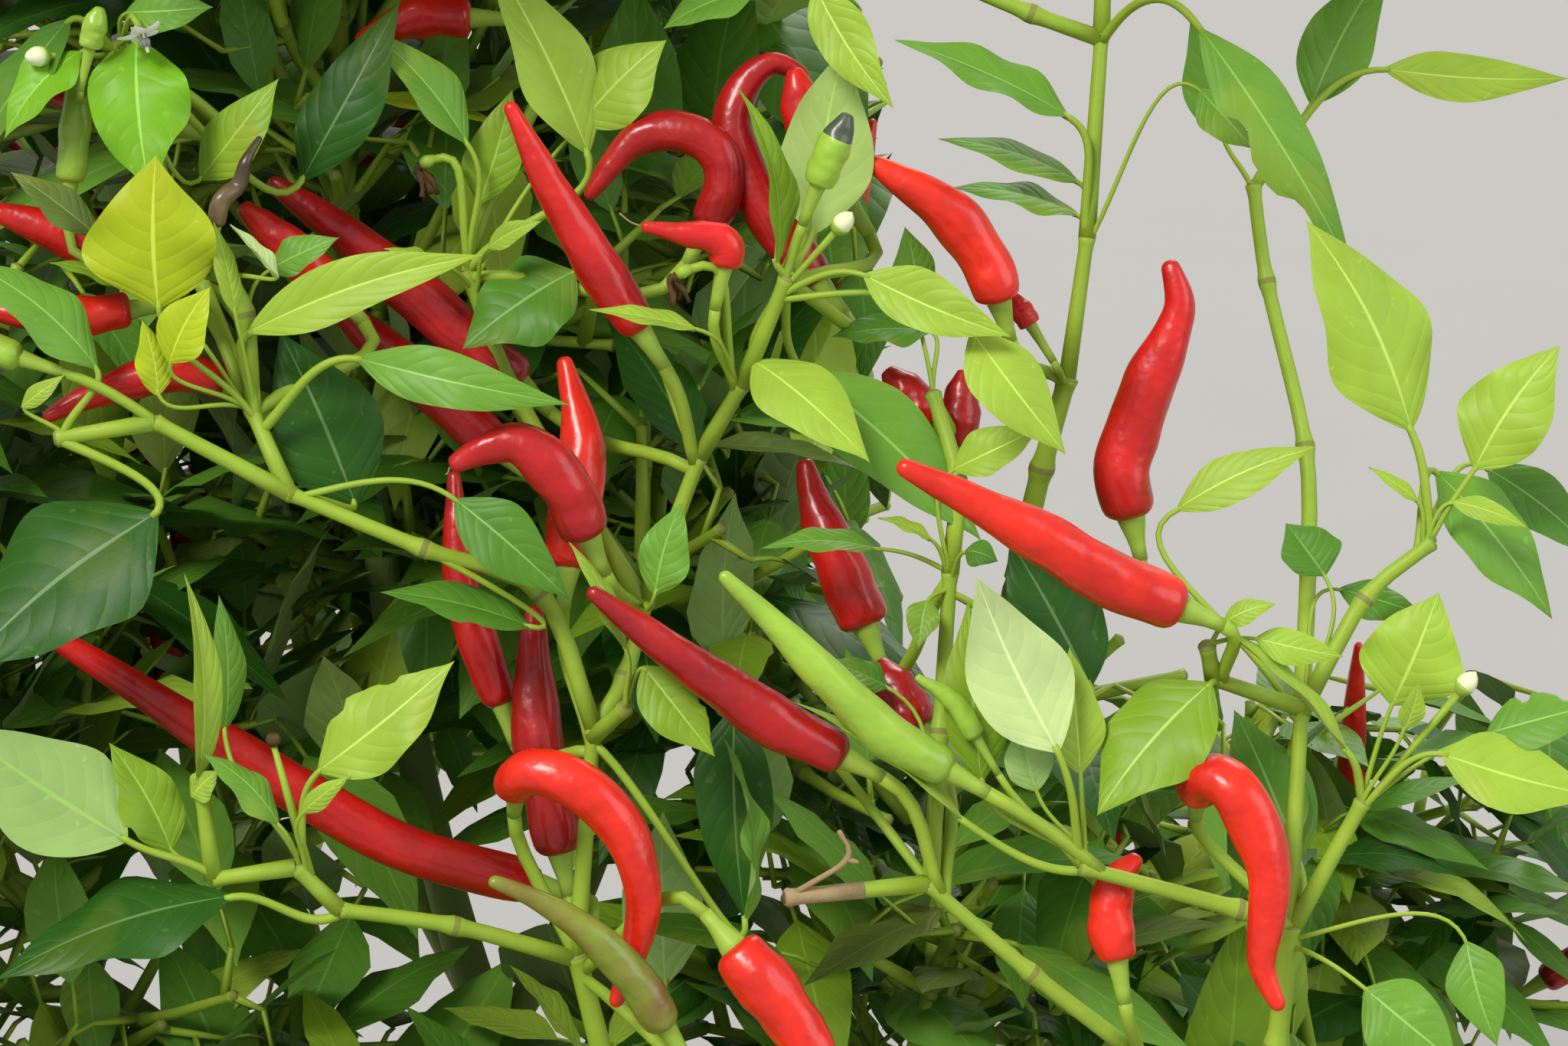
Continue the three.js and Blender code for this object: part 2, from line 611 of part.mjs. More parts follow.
// The branches that fill a space: each leaves the stem at the node nearest to its goal, and the
// goals lie evenly all round the middle of the space.
function branchPlans({ middle, half }, nodes, seed) {
  return Array.from({ length: BRANCHES }, (_, k) => {
    const level = 1 - (2 * (k + 0.5)) / BRANCHES;
    const ring = Math.sqrt(1 - level * level);
    const turn = k * GOLDEN_TURN;
    const goal = new THREE.Vector3(ring * Math.cos(turn), ring * Math.sin(turn), level)
      .multiply(half)
      .multiplyScalar(BRANCH_REACH)
      .add(middle);
    const gaps = nodes.slice(1).map((node) => node.distanceTo(goal));
    const start = nodes[1 + gaps.indexOf(Math.min(...gaps))];
    const heading = goal.clone().sub(start);
    const stemNodes = THREE.MathUtils.clamp(Math.round(heading.length() / INTERNODE), 1, 4);
    return { seed: seed + 211 * (k + 1), start, heading, stemNodes, twigsPerNode: BRANCH_TWIGS };
  });
}

// The bodies of a mass: its first shoot, and the branches that fill the rest of its space.
function massBodies(plan, space) {
  const belongs = (place) => inSpace(space, place);
  const [stem, ...twigs] = grownShoot(plan);
  const shoots = [{ body: twigBody(stem.nodes, STEM_RADIUS, STEM_RADIUS), twigs }];
  for (const branchPlan of branchPlans(space, stem.nodes, plan.seed)) {
    const [branch, ...branchTwigs] = grownShoot({ ...plan, ...branchPlan });
    const kept = inside(branch.nodes, belongs);
    if (kept.length < 2) continue;
    const body = twigBody(kept, TWIG_RADIUS, TWIG_RADIUS);
    if (!isClear(body, [])) continue;
    shoots.push({ body, twigs: branchTwigs.filter((twig) => twig.at < kept.length) });
  }
  const stems = shoots.map((shoot) => shoot.body);
  const grown = [];
  for (const shoot of shoots) {
    const otherStems = stems.filter((body) => body !== shoot.body);
    twigBodies(shoot.twigs, belongs, grown, otherStems);
  }
  return [...stems, ...grown];
}

// The bodies of one front shoot, and the place of each node by name.
function frontShoot({ carrier, stems, leaves, pods }) {
  const places = { root: limbs.get(carrier).curve.getPoint(1) };
  const lines = {};
  const used = {};
  const bodies = [];
  const rootOf = (name) => {
    if (name === "root") return places.root;
    used[name] = (used[name] ?? -1) + 1;
    return socket(lines[name], lines[name].length - 1, used[name]);
  };
  for (const [from, name, ...points] of stems) {
    const line = [rootOf(from), ...points.map(seen)];
    lines[name] = line;
    places[name] = line.at(-1);
    const isMain = from === "root";
    bodies.push(twigBody(line, isMain ? STEM_RADIUS : TWIG_RADIUS, isMain ? STEM_RADIUS : TWIG_ROOT_RADIUS));
  }
  for (const [from, basePoint, tipPoint, width, turn] of leaves) {
    const base = seen(basePoint);
    const tip = seen(tipPoint);
    const along = tip.clone().sub(base).normalize();
    const facing = TO_VIEWER.clone().add(UP);
    facing.addScaledVector(along, -facing.dot(along)).normalize();
    facing.applyAxisAngle(along, THREE.MathUtils.degToRad(turn));
    bodies.push(leafBody({ node: rootOf(from), base, tip, width, facing }));
  }
  for (const [from, calyxPoint, tipPoint, girth, third, twoThirds] of pods) {
    const calyx = seen(calyxPoint);
    const tip = seen(tipPoint);
    const byThird = third ? seen(third) : calyx.clone().lerp(tip, 1 / 3);
    const byTwoThirds = twoThirds ? seen(twoThirds) : calyx.clone().lerp(tip, 2 / 3);
    bodies.push(podBody({ node: rootOf(from), calyx, tip, byThird, byTwoThirds, girth }));
  }
  return { places, bodies };
}

// The masses of leaves, each joined to one solid and cut clear of its bough
const masses = new Map();

function addMass(name, bodies) {
  const mass = largest(wasm.Manifold.union(bodies).subtract(fatWood));
  built = built.add(mass);
  masses.set(name, mass);
}

for (const [name, shoot] of Object.entries(FRONT_SHOOTS)) {
  const { places, bodies } = frontShoot(shoot);
  if (places[TOP_SHOOT.node]) {
    const isAbove = (place) => inView(place)[1] > VIEW_HALF_HEIGHT;
    bodies.push(...bodiesOf(grownShoot({ ...TOP_SHOOT, start: places[TOP_SHOOT.node] }), isAbove));
  }
  addMass(name, bodies);
}

const grownPlans = GROWN_PLAN.map(([name, carrier, , , stemNodes, twigsPerNode, podShare], i) => {
  const { curve } = limbs.get(carrier);
  const start = curve.getPoint(1);
  const heading = spaces[i].middle.clone().sub(start).normalize().add(curve.getTangent(1));
  const plan = { seed: 101 + 17 * i, start, heading, stemNodes, twigsPerNode, twigNodes: 1, podShare };
  const [stem] = grownShoot(plan);
  return { name, plan, space: spaces[i], stemBody: twigBody(stem.nodes, STEM_RADIUS, STEM_RADIUS) };
});

grownPlans.forEach(({ name, plan, space }, i) => {
  laterStems = grownPlans.slice(i + 1).map((later) => later.stemBody);
  addMass(name, massBodies(plan, space));
});

// The scene graph: one named mesh for each limb and each mass.
function meshOf(name, solid, look) {
  const { vertProperties, triVerts } = solid.getMesh();
  const geometry = new THREE.BufferGeometry();
  geometry.setAttribute("position", new THREE.BufferAttribute(vertProperties, 3));
  geometry.setIndex(new THREE.BufferAttribute(triVerts, 1));
  geometry.computeVertexNormals();
  const mesh = new THREE.Mesh(geometry, new THREE.MeshStandardMaterial(look));
  mesh.name = name;
  return mesh;
}

const WOOD_LOOK = { color: 0x7b6a4e, roughness: 0.85, metalness: 0 };
const LEAF_LOOK = { color: 0x4c7a2c, roughness: 0.5, metalness: 0 };

const plant = new THREE.Group();
for (const [name, solid] of wood) plant.add(meshOf(name, solid, WOOD_LOOK));
for (const [name, solid] of masses) plant.add(meshOf(name, solid, LEAF_LOOK));

export default plant;
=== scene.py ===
"""A chilli pepper plant with upright red pods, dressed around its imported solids.

Places and sizes are in millimetres until they go into a mesh, in the plant's own frame. The shoots
grow by the same seeded rule as the solids do, and are carried on to finer twigs.
"""

import math
from itertools import product
from types import SimpleNamespace

import bpy
import numpy as np
from mathutils import Matrix, Vector, noise


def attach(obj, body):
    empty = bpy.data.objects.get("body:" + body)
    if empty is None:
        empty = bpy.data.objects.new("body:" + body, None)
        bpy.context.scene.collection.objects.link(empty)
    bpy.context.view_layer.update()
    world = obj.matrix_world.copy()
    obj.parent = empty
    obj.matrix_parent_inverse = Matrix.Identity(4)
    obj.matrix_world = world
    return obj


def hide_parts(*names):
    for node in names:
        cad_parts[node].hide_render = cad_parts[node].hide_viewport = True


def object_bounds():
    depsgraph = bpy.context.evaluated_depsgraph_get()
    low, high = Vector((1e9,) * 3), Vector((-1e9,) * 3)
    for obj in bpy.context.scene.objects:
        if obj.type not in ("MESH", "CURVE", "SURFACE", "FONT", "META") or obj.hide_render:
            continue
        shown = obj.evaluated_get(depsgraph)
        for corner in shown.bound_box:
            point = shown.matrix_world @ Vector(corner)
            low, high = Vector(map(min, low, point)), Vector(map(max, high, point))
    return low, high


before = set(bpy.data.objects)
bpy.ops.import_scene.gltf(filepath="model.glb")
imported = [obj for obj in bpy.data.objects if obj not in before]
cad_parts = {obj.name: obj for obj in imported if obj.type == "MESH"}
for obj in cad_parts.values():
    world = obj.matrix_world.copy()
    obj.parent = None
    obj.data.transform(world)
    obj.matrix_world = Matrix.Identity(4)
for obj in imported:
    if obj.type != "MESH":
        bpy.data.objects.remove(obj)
cad_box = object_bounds()

MM = 0.001

# The front view: its middle, how far it looks down, and how far away the viewer stands. The half
# width and half height reach a little past its edges.
VIEW_MIDDLE = np.array([0.0, -100.0, 425.0])
VIEW_TILT = math.radians(20)
VIEW_DISTANCE = 700.0
VIEW_WIDTH = 285.7
VIEW_HALF_WIDTH = 150
VIEW_HALF_HEIGHT = 108
VIEW_RIGHT = np.array([1.0, 0.0, 0.0])
VIEW_UP = np.array([0.0, math.sin(VIEW_TILT), math.cos(VIEW_TILT)])
TO_VIEWER = np.array([0.0, -math.cos(VIEW_TILT), math.sin(VIEW_TILT)])
UP = np.array([0.0, 0.0, 1.0])

# Where grown shoots keep away, as in the source
FRONT_DEPTH = -48
OPEN_RIGHT = 22
OPEN_UP = -22
EDGE_RIGHT = 98
EDGE_DEPTH = -190

# Sizes of the wood and of the rule's shoots, as in the source
TRUNK_LINE = [(-0.6, -0.2, -6), (9, 3, 96), (-4, -6, 197)]
TRUNK_RADIUS = 8.6
TRUNK_TAPER = 1.4
FLARE_RADIUS = 4.6
FLARE_SHARE = 0.09
INTERNODE = 30
TWIG_INTERNODE = 27
TWIG_STEP = 4.8
LEAF_STEP = 2.6
ZIGZAG = 0.3
LIFT = 0.17
GOLDEN_TURN = 2.4
LEAF_LENGTHS = (50, 70)
LEAF_PROPORTION = 0.48
PETIOLE_SHARE = 0.36
POD_LENGTHS = (42, 60)
POD_GIRTHS = (7.6, 9.4)
PEDICEL_LENGTH = 24
LOWEST_LEAF = 150
BRANCHES = 4
BRANCH_REACH = 0.8
BRANCH_TWIGS = 3

# Limits and sizes that only the dressed plant has
POD_DEPTH = -150
TOP_REACH = 648
STEM_RADIUS = 2.3
TWIG_RADIUS = 1.7
SPRIG_RADIUS = 1.1
PETIOLE_RADIUS = 0.75
PEDICEL_RADIUS = 1.35
NODE_STEP = 0.9
NODE_SWELL = 0.32
NODE_LENGTH = 1.7
NODE_RINGS = (-3.2, -1.7, -0.6, 0.6, 1.7, 3.2)
RING_STEP = 7
LEAF_SPACING = 12
LIMB_CLEARANCE = 9
FILLERS = 6
FILLER_TWIGS = 5
BLADE_WIDEST = 0.36
POD_BELLY_AT = 0.3
POD_TIP = 0.27
POD_TIP_LENGTH = 0.024
POD_BOW = 0.018
CALYX_WIDTH = 0.48

# Materials and surroundings, with heights and the floor's radius in metres
SIDE_VEINS = 8.0
LEAF_GLOW = 0.30
BARK_TURN_HEIGHT = 0.16
FLOOR_RADIUS = 16
FLOOR_COLOURS = ((0.310, 0.307, 0.302), (0.321, 0.318, 0.313))
LIGHT_HEIGHT = 0.4
SENSOR_WIDTH = 36

# Leaf colours: the upper side of each. Undersides and ribs are worked out from them.
TINTS = {
    "yellow": (0.47, 0.60, 0.018),
    "bright": (0.38, 0.57, 0.058),
    "lime": (0.26, 0.44, 0.026),
    "vivid": (0.21, 0.50, 0.020),
    "fresh": (0.18, 0.40, 0.045),
    "mid": (0.105, 0.28, 0.026),
    "deep": (0.030, 0.125, 0.010),
    "dull": (0.15, 0.23, 0.045),
    "pale": (0.56, 0.72, 0.30),
}
TINT_NAMES = list(TINTS)
# How much of the grown foliage takes each tint
TINT_SHARES = {"deep": 0.16, "mid": 0.34, "fresh": 0.26, "bright": 0.10, "lime": 0.08, "yellow": 0.02,
               "dull": 0.04}
# Pod colours: the skin, and what it is blotched with
POD_COLOURS = {
    "scarlet": ((0.88, 0.026, 0.007), (0.50, 0.011, 0.004)),
    "red": ((0.66, 0.011, 0.007), (0.36, 0.005, 0.004)),
    "crimson": ((0.46, 0.007, 0.008), (0.25, 0.004, 0.004)),
    "orange": ((0.92, 0.085, 0.010), (0.60, 0.040, 0.006)),
    "green": ((0.32, 0.52, 0.045), (0.24, 0.40, 0.036)),
    "turning": ((0.20, 0.31, 0.028), (0.17, 0.085, 0.020)),
    "dusky": ((0.070, 0.095, 0.060), (0.040, 0.055, 0.036)),
    "dried": ((0.150, 0.110, 0.050), (0.050, 0.034, 0.016)),
}
POD_NAMES = list(POD_COLOURS)
# How many of the grown pods take each colour
POD_SHARES = {"scarlet": 0.28, "red": 0.36, "crimson": 0.14, "orange": 0.06, "green": 0.11, "turning": 0.05}
STEM_LOOKS = ["green", "node", "dry", "calyx"]
BLOSSOM_LOOKS = ["petal", "anther", "bud", "withered"]


def unit(v):
    return v / np.linalg.norm(v)


def lerp(a, b, share):
    return a + (b - a) * share


def seen(point):
    """A point of the front view, in mm right of, above and nearer than its middle, in the frame."""
    right, up, near = point
    spread = (VIEW_DISTANCE - near) / VIEW_DISTANCE
    return VIEW_MIDDLE + VIEW_RIGHT * right * spread + VIEW_UP * up * spread + TO_VIEWER * near


def in_view(place):
    """How far right of, above and nearer than the middle of the front view a place appears."""
    offset = place - VIEW_MIDDLE
    near = offset @ TO_VIEWER
    spread = (VIEW_DISTANCE - near) / VIEW_DISTANCE
    return offset @ VIEW_RIGHT / spread, offset @ VIEW_UP / spread, near


def dice(seed):
    """Numbers between two limits, the same ones for the same seed."""
    state = [seed]

    def roll(low, high):
        state[0] = state[0] * 16807 % 2147483647
        return low + (high - low) * state[0] / 2147483647

    return roll


def square_to(direction):
    axis = UP if abs(direction[2]) < 0.9 else VIEW_RIGHT
    return unit(np.cross(direction, axis))


def aside(heading, turn, spread):
    """A direction that spreads away from a heading, turned round it."""
    first = square_to(heading)
    second = np.cross(heading, first)
    outward = first * math.cos(turn) + second * math.sin(turn)
    return heading * math.cos(spread) + outward * math.sin(spread)


def bezier(points, shares):
    """Places along a Bezier curve of three or four points."""
    points = np.array(points, float)
    order = len(points) - 1
    t = np.asarray(shares, float)[:, None]
    weights = [math.comb(order, k) * t**k * (1 - t) ** (order - k) for k in range(order + 1)]
    return sum(weight * point for weight, point in zip(weights, points))


def rounded(places, steps=5):
    """A smooth line through places, with some steps between each two."""
    places = np.array(places, float)
    if len(places) == 2:
        return bezier([places[0], lerp(*places, 0.5), places[1]], np.linspace(0, 1, steps + 1))
    ends = np.vstack([2 * places[0] - places[1], places, 2 * places[-1] - places[-2]])
    line = []
    for before, start, end, after in zip(ends, ends[1:], ends[2:], ends[3:]):
        for t in np.arange(steps) / steps:
            line.append(0.5 * (2 * start + (end - before) * t
                               + (2 * before - 5 * start + 4 * end - after) * t * t
                               + (3 * start - before - 3 * end + after) * t**3))
    return np.vstack([line, places[-1]])


class Heap:
    """Shapes of one kind as they come, joined into one piece at the end."""

    def __init__(self, looks=()):
        self.looks = looks
        self.points, self.uvs, self.rims = [], [], []
        self.tris, self.tri_looks, self.quads, self.quad_looks = [], [], [], []
        self.count = 0

    def add(self, points, tris, tri_looks, quads, quad_looks, uvs=None, rims=None):
        """points (n, 3), faces as rows of point numbers, and one look or one for each face."""
        points = np.asarray(points, float).reshape(-1, 3)
        tris, quads = np.asarray(tris, int).reshape(-1, 3), np.asarray(quads, int).reshape(-1, 4)
        self.points.append(points)
        self.uvs.append(np.full((len(points), 2), 0.5) if uvs is None else uvs)
        self.rims.append(np.zeros(len(points), bool) if rims is None else rims)
        self.tris.append(tris + self.count)
        self.quads.append(quads + self.count)
        self.tri_looks.append(np.broadcast_to(tri_looks, len(tris)))
        self.quad_looks.append(np.broadcast_to(quad_looks, len(quads)))
        self.count += len(points)

    def build(self, name, materials):
        """A piece with all the shapes so far, in metres."""
        tris, quads = np.vstack(self.tris), np.vstack(self.quads)
        corners = np.concatenate([tris.ravel(), quads.ravel()])
        starts = np.concatenate([np.arange(len(tris)) * 3, len(tris) * 3 + np.arange(len(quads)) * 4])
        mesh = bpy.data.meshes.new(name)
        mesh.vertices.add(self.count)
        mesh.vertices.foreach_set("co", (np.vstack(self.points) * MM).ravel())
        mesh.loops.add(len(corners))
        mesh.loops.foreach_set("vertex_index", corners)
        mesh.polygons.add(len(starts))
        mesh.polygons.foreach_set("loop_start", starts)
        looks = np.concatenate(self.tri_looks + self.quad_looks)
        mesh.polygons.foreach_set("material_index", looks)
        mesh.polygons.foreach_set("use_smooth", np.ones(len(starts), bool))
        mesh.update(calc_edges=True)
        layer = mesh.uv_layers.new(name="UVMap")
        layer.data.foreach_set("uv", np.vstack(self.uvs)[corners].ravel())
        ends = np.zeros(len(mesh.edges) * 2, int)
        mesh.edges.foreach_get("vertices", ends)
        on_rim = np.concatenate(self.rims)[ends.reshape(-1, 2)].all(axis=1)
        mesh.attributes.new("sharp_edge", "BOOLEAN", "EDGE").data.foreach_set("value", on_rim)
        for material in materials:
            mesh.materials.append(material)
        mesh.validate()
        piece = bpy.data.objects.new(name, mesh)
        bpy.context.scene.collection.objects.link(piece)
        return piece


def rings_along(line):
    """A line's direction at each of its places, and two more that stay square to it without twist."""
    along = np.gradient(line, axis=0)
    along /= np.linalg.norm(along, axis=1)[:, None]
    across = [square_to(along[0])]
    for direction in along[1:]:
        carried = across[-1] - direction * (across[-1] @ direction)
        across.append(unit(carried))
    across = np.array(across)
    return along, across, np.cross(along, across)


def reach_along(line):
    """How far along a line each of its places lies."""
    return np.concatenate([[0], np.cumsum(np.linalg.norm(np.diff(line, axis=0), axis=1))])


def places_at(marks, line):
    """The places at some distances along a line."""
    reach = reach_along(line)
    return np.stack([np.interp(marks, reach, line[:, axis]) for axis in range(3)], axis=1)


def circle(across, ridge, sides):
    """Directions all round, in the plane of two directions or of each pair of them."""
    angles = np.linspace(0, 2 * math.pi, sides, endpoint=False)[:, None]
    return np.cos(angles) * across[..., None, :] + np.sin(angles) * ridge[..., None, :]


def skin(heap, rings, ends, looks, rims=None):
    """A tube over rings of points, closed at its two end points. looks is the number of one look, or
    of one for each stretch between two rings."""
    rows, sides = rings.shape[:2]
    k = np.arange(sides)
    after = (k + 1) % sides
    i = np.arange(rows - 1)[:, None] * sides
    quads = np.stack([i + k, i + after, i + sides + after, i + sides + k], axis=-1).reshape(-1, 4)
    start, end, last = rows * sides, rows * sides + 1, (rows - 1) * sides
    tris = [(start, b, a) for a, b in zip(k, after)]
    tris += [(end, last + a, last + b) for a, b in zip(k, after)]
    looks = np.broadcast_to(looks, rows - 1)
    end_looks = np.repeat([looks[0], looks[-1]], sides)
    heap.add(np.vstack([rings.reshape(-1, 3), *ends]), tris, end_looks, quads, np.repeat(looks, sides),
             rims=rims)


def tube(heap, line, radii, sides, look):
    """A round body along a line. look is the name of one look, or a number for each stretch."""
    line, radii = np.asarray(line, float), np.asarray(radii, float)
    _, across, ridge = rings_along(line)
    if radii.ndim < 2:
        radii = np.broadcast_to(radii, len(line))[:, None]
    rings = line[:, None] + circle(across, ridge, sides) * radii[:, :, None]
    skin(heap, rings, (line[0], line[-1]), heap.looks.index(look) if isinstance(look, str) else look)


def stem(heap, places, radius, end_radius, sides=8, look="green", swollen=True, end=0.7):
    """A green stem or twig. It swells a little at each of its places after the first. end is how
    much of its thickness is left in its last ring."""
    line = rounded(places)
    reach = reach_along(line)
    joints = reach[:: (len(line) - 1) // (len(places) - 1)][1:] if swollen else []
    marks = list(np.linspace(0, reach[-1], max(3, int(reach[-1] / RING_STEP))))
    marks += [joint + offset for joint in joints for offset in NODE_RINGS]
    marks = np.unique(np.clip(marks, 0, reach[-1]))
    marks = marks[np.concatenate([[True], np.diff(marks) > 0.25])]
    middles = (marks[1:] + marks[:-1]) / 2
    radii = lerp(radius, end_radius, marks / reach[-1])
    looks = np.full(len(middles), heap.looks.index(look))
    for joint in joints:
        radii = radii * (1 + NODE_SWELL * np.exp(-(((marks - joint) / NODE_LENGTH) ** 2)))
        if look == "green":
            looks[np.abs(middles - joint) < 0.7] = heap.looks.index("node")
    radii[-1] *= end
    tube(heap, places_at(marks, line), radii, sides, looks)


def stalk(heap, node, end, direction, radius, end_radius, lift, sides=6, steps=7):
    """A petiole or pedicel that leaves a node and comes to its end in a direction."""
    span = np.linalg.norm(end - node)
    handles = [node, lerp(node, end, 0.35) + UP * span * lift, end - direction * span * 0.38, end]
    shares = np.linspace(0, 1, steps)
    tube(heap, bezier(handles, shares), lerp(radius, end_radius, shares), sides, "green")


# How many rows a blade has from its base to its tip, and its columns from side to side, for two
# finenesses. Only the fine one has a midrib, between its two middle columns.
FINE_BLADE = (24, (-1, -0.86, -0.62, -0.36, -0.14, -0.028, 0.028, 0.14, 0.36, 0.62, 0.86, 1))
PLAIN_BLADE = (7, (-1, -0.5, 0, 0.5, 1))


def half_width(t):
    """A blade's half width at a share of its length, next to its greatest: round low down, and
    drawn out to a point."""
    rise = np.sin(np.minimum(t / BLADE_WIDEST, 1) * math.pi / 2) ** 0.9
    fall = np.cos(np.clip((t - BLADE_WIDEST) / (1 - BLADE_WIDEST), 0, 1) * math.pi / 2) ** 1.15
    return rise * fall


def blade_points(leaves, t, s):
    """The points of each blade: its foot, its upper side row by row, its underside without the
    margins, and its tip. t is a row's share of the length, s a column's place from side to side."""
    def value(key):
        """One value of every blade, to go with rows and columns."""
        return np.array([leaf[key] for leaf in leaves], float)[:, None, None]

    base, tip, phase, side = value("base"), value("tip"), value("phase"), np.sign(s)
    along = tip - base
    span = np.linalg.norm(along, axis=-1)
    along /= span[..., None]
    facing = value("facing") - along * np.sum(value("facing") * along, axis=-1)[..., None]
    facing /= np.linalg.norm(facing, axis=-1)[..., None]
    across = np.cross(along, facing)
    width = half_width(t) * value("width") / 2
    width = width * (1 + 0.05 * np.sin(11 * t + phase + 2 * side) + value("skew") * side)
    # Insects have bitten one side of some blades
    gnawed = np.clip(np.sin(19 * t + 3 * phase) * 1.8 - 0.5, 0, 1) + 0.25 * np.clip(np.sin(41 * t), 0, 1)
    width = width * (1 - value("bite") * gnawed * (s * np.sign(np.sin(phase)) > 0.3) * (t > 0.22))
    out = width * s * np.cos(value("fold"))
    rise = width * np.abs(s) * np.sin(value("fold"))
    rise = rise - 0.20 * width * s**2
    rise = rise + value("wave") * width * s**2 * np.sin(t * 15 + phase + side * 1.3)
    rise = rise + span * value("arch") * 4 * t * (1 - t)
    sway = 0.035 * span * np.sin(t * math.pi) * np.sin(phase * 1.7)
    middle = base + along * (span * t)[..., None] + across * (out + sway)[..., None]
    middle = middle + facing * rise[..., None]
    # The blade is thickest along its middle, and its rib stands out below, most near the foot
    above = 0.12 * (1 - s**2)
    below = 0.22 * (1 - s**2) + 0.55 * (1 - t) * (np.abs(s) < 0.07)
    upper = (middle + facing * above[..., None]).reshape(len(leaves), -1, 3)
    lower = (middle - facing * below[..., None])[:, :, 1:-1].reshape(len(leaves), -1, 3)
    return np.concatenate([base[:, 0], upper, lower, tip[:, 0]], axis=1)


def sheet(grid, tip, flip):
    """Quads over a grid of point numbers, and triangles to the foot, which is point 0, and the tip.
    Both sides are split along the same diagonal, so that neither comes through the other."""
    quads = np.stack([grid[:-1, :-1], grid[:-1, 1:], grid[1:, 1:], grid[1:, :-1]], axis=-1).reshape(-1, 4)
    left, right = grid[:, :-1], grid[:, 1:]
    start = np.stack([np.zeros_like(left[0]), right[0], left[0]], axis=-1)
    end = np.stack([left[-1], right[-1], np.full_like(left[0], tip)], axis=-1)
    tris = np.vstack([start, end])
    return (quads[:, [0, 3, 2, 1]], tris[:, ::-1]) if flip else (quads, tris)


def blades(heap, leaves, fineness):
    """All the blades of one fineness: thin closed bodies with an upper side, an underside and a
    midrib, each with its own tint."""
    if not leaves:
        return
    rows, column = fineness[0], np.array(fineness[1])
    wide, count = len(column), len(leaves)
    t = np.linspace(0, 1, rows + 2)[1:-1]
    t = (1 - np.cos(t * math.pi)) / 2 * 0.35 + t * 0.65
    points = blade_points(leaves, t[None, :, None], column[None, None, :])
    each = points.shape[1]
    top = 1 + np.arange(rows * wide).reshape(rows, wide)
    under = top.copy()
    under[:, 1:-1] = 1 + rows * wide + np.arange(rows * (wide - 2)).reshape(rows, wide - 2)
    quads, tris = map(np.vstack, zip(sheet(top, each - 1, False), sheet(under, each - 1, True)))
    # Each tint has three looks in a row: its upper side, its underside and its rib
    is_rib = (np.abs((column[1:] + column[:-1]) / 2) < 0.01) & (column[1:] - column[:-1] < 0.2)
    kinds = [np.where(is_rib, 2, 0), np.where(is_rib, 2, 1)]
    quad_kind = np.concatenate([np.tile(kind, rows - 1) for kind in kinds])
    tri_kind = np.concatenate([np.tile(kind, 2) for kind in kinds])
    tint = np.array([TINT_NAMES.index(leaf["tint"]) for leaf in leaves])[:, None] * 3
    u, v = np.meshgrid((column + 1) / 2, t)
    spread = np.stack([u, v], axis=-1)
    uvs = np.vstack([(0.5, 0), spread.reshape(-1, 2), spread[:, 1:-1].reshape(-1, 2), (0.5, 1)])
    rim = np.zeros(each, bool)
    rim[[0, each - 1, *top[:, 0], *top[:, -1]]] = True
    first = (np.arange(count) * each)[:, None, None]
    heap.add(points, tris + first, (tri_kind + tint).ravel(), quads + first, (quad_kind + tint).ravel(),
             np.tile(uvs, (count, 1)), np.tile(rim, count))


def pod_line(way, shares, phase):
    """The line of a pod at shares of its length, through the places of its way from calyx to tip."""
    line = rounded(way, 8)
    length = reach_along(line)[-1]
    places = places_at(shares * length, line)
    if len(way) > 2:
        return places
    bow = square_to(unit(way[-1] - way[0])) * math.cos(phase) + TO_VIEWER * math.sin(phase) * 0.4
    bends = np.sin(shares * math.pi * (1.2 + 0.3 * math.sin(phase)))
    return places + bow * (POD_BOW * length * bends)[:, None]


def pod_swell(share, blunt):
    """How thick a pod is at a share of its length, next to its greatest thickness: a round shoulder,
    a belly before the middle, and a taper to a round tip."""
    shoulder = 0.42 + 0.58 * np.sqrt(1 - (1 - np.minimum(share / 0.05, 1)) ** 2)
    belly = 1 - 0.17 * np.exp(-share / 0.12)
    past_belly = np.clip((share - POD_BELLY_AT) / (1 - POD_BELLY_AT), 0, 1)
    taper = 1 - (1 - POD_TIP) * past_belly ** (blunt - 0.9)
    into_tip = np.clip((share - 1 + POD_TIP_LENGTH) / POD_TIP_LENGTH, 0, 1)
    return shoulder * belly * taper * np.sqrt(1 - into_tip**2)


# How many sides and rings a pod has, in front and elsewhere
FINE_POD = (20, 38)
PLAIN_POD = (10, 9)


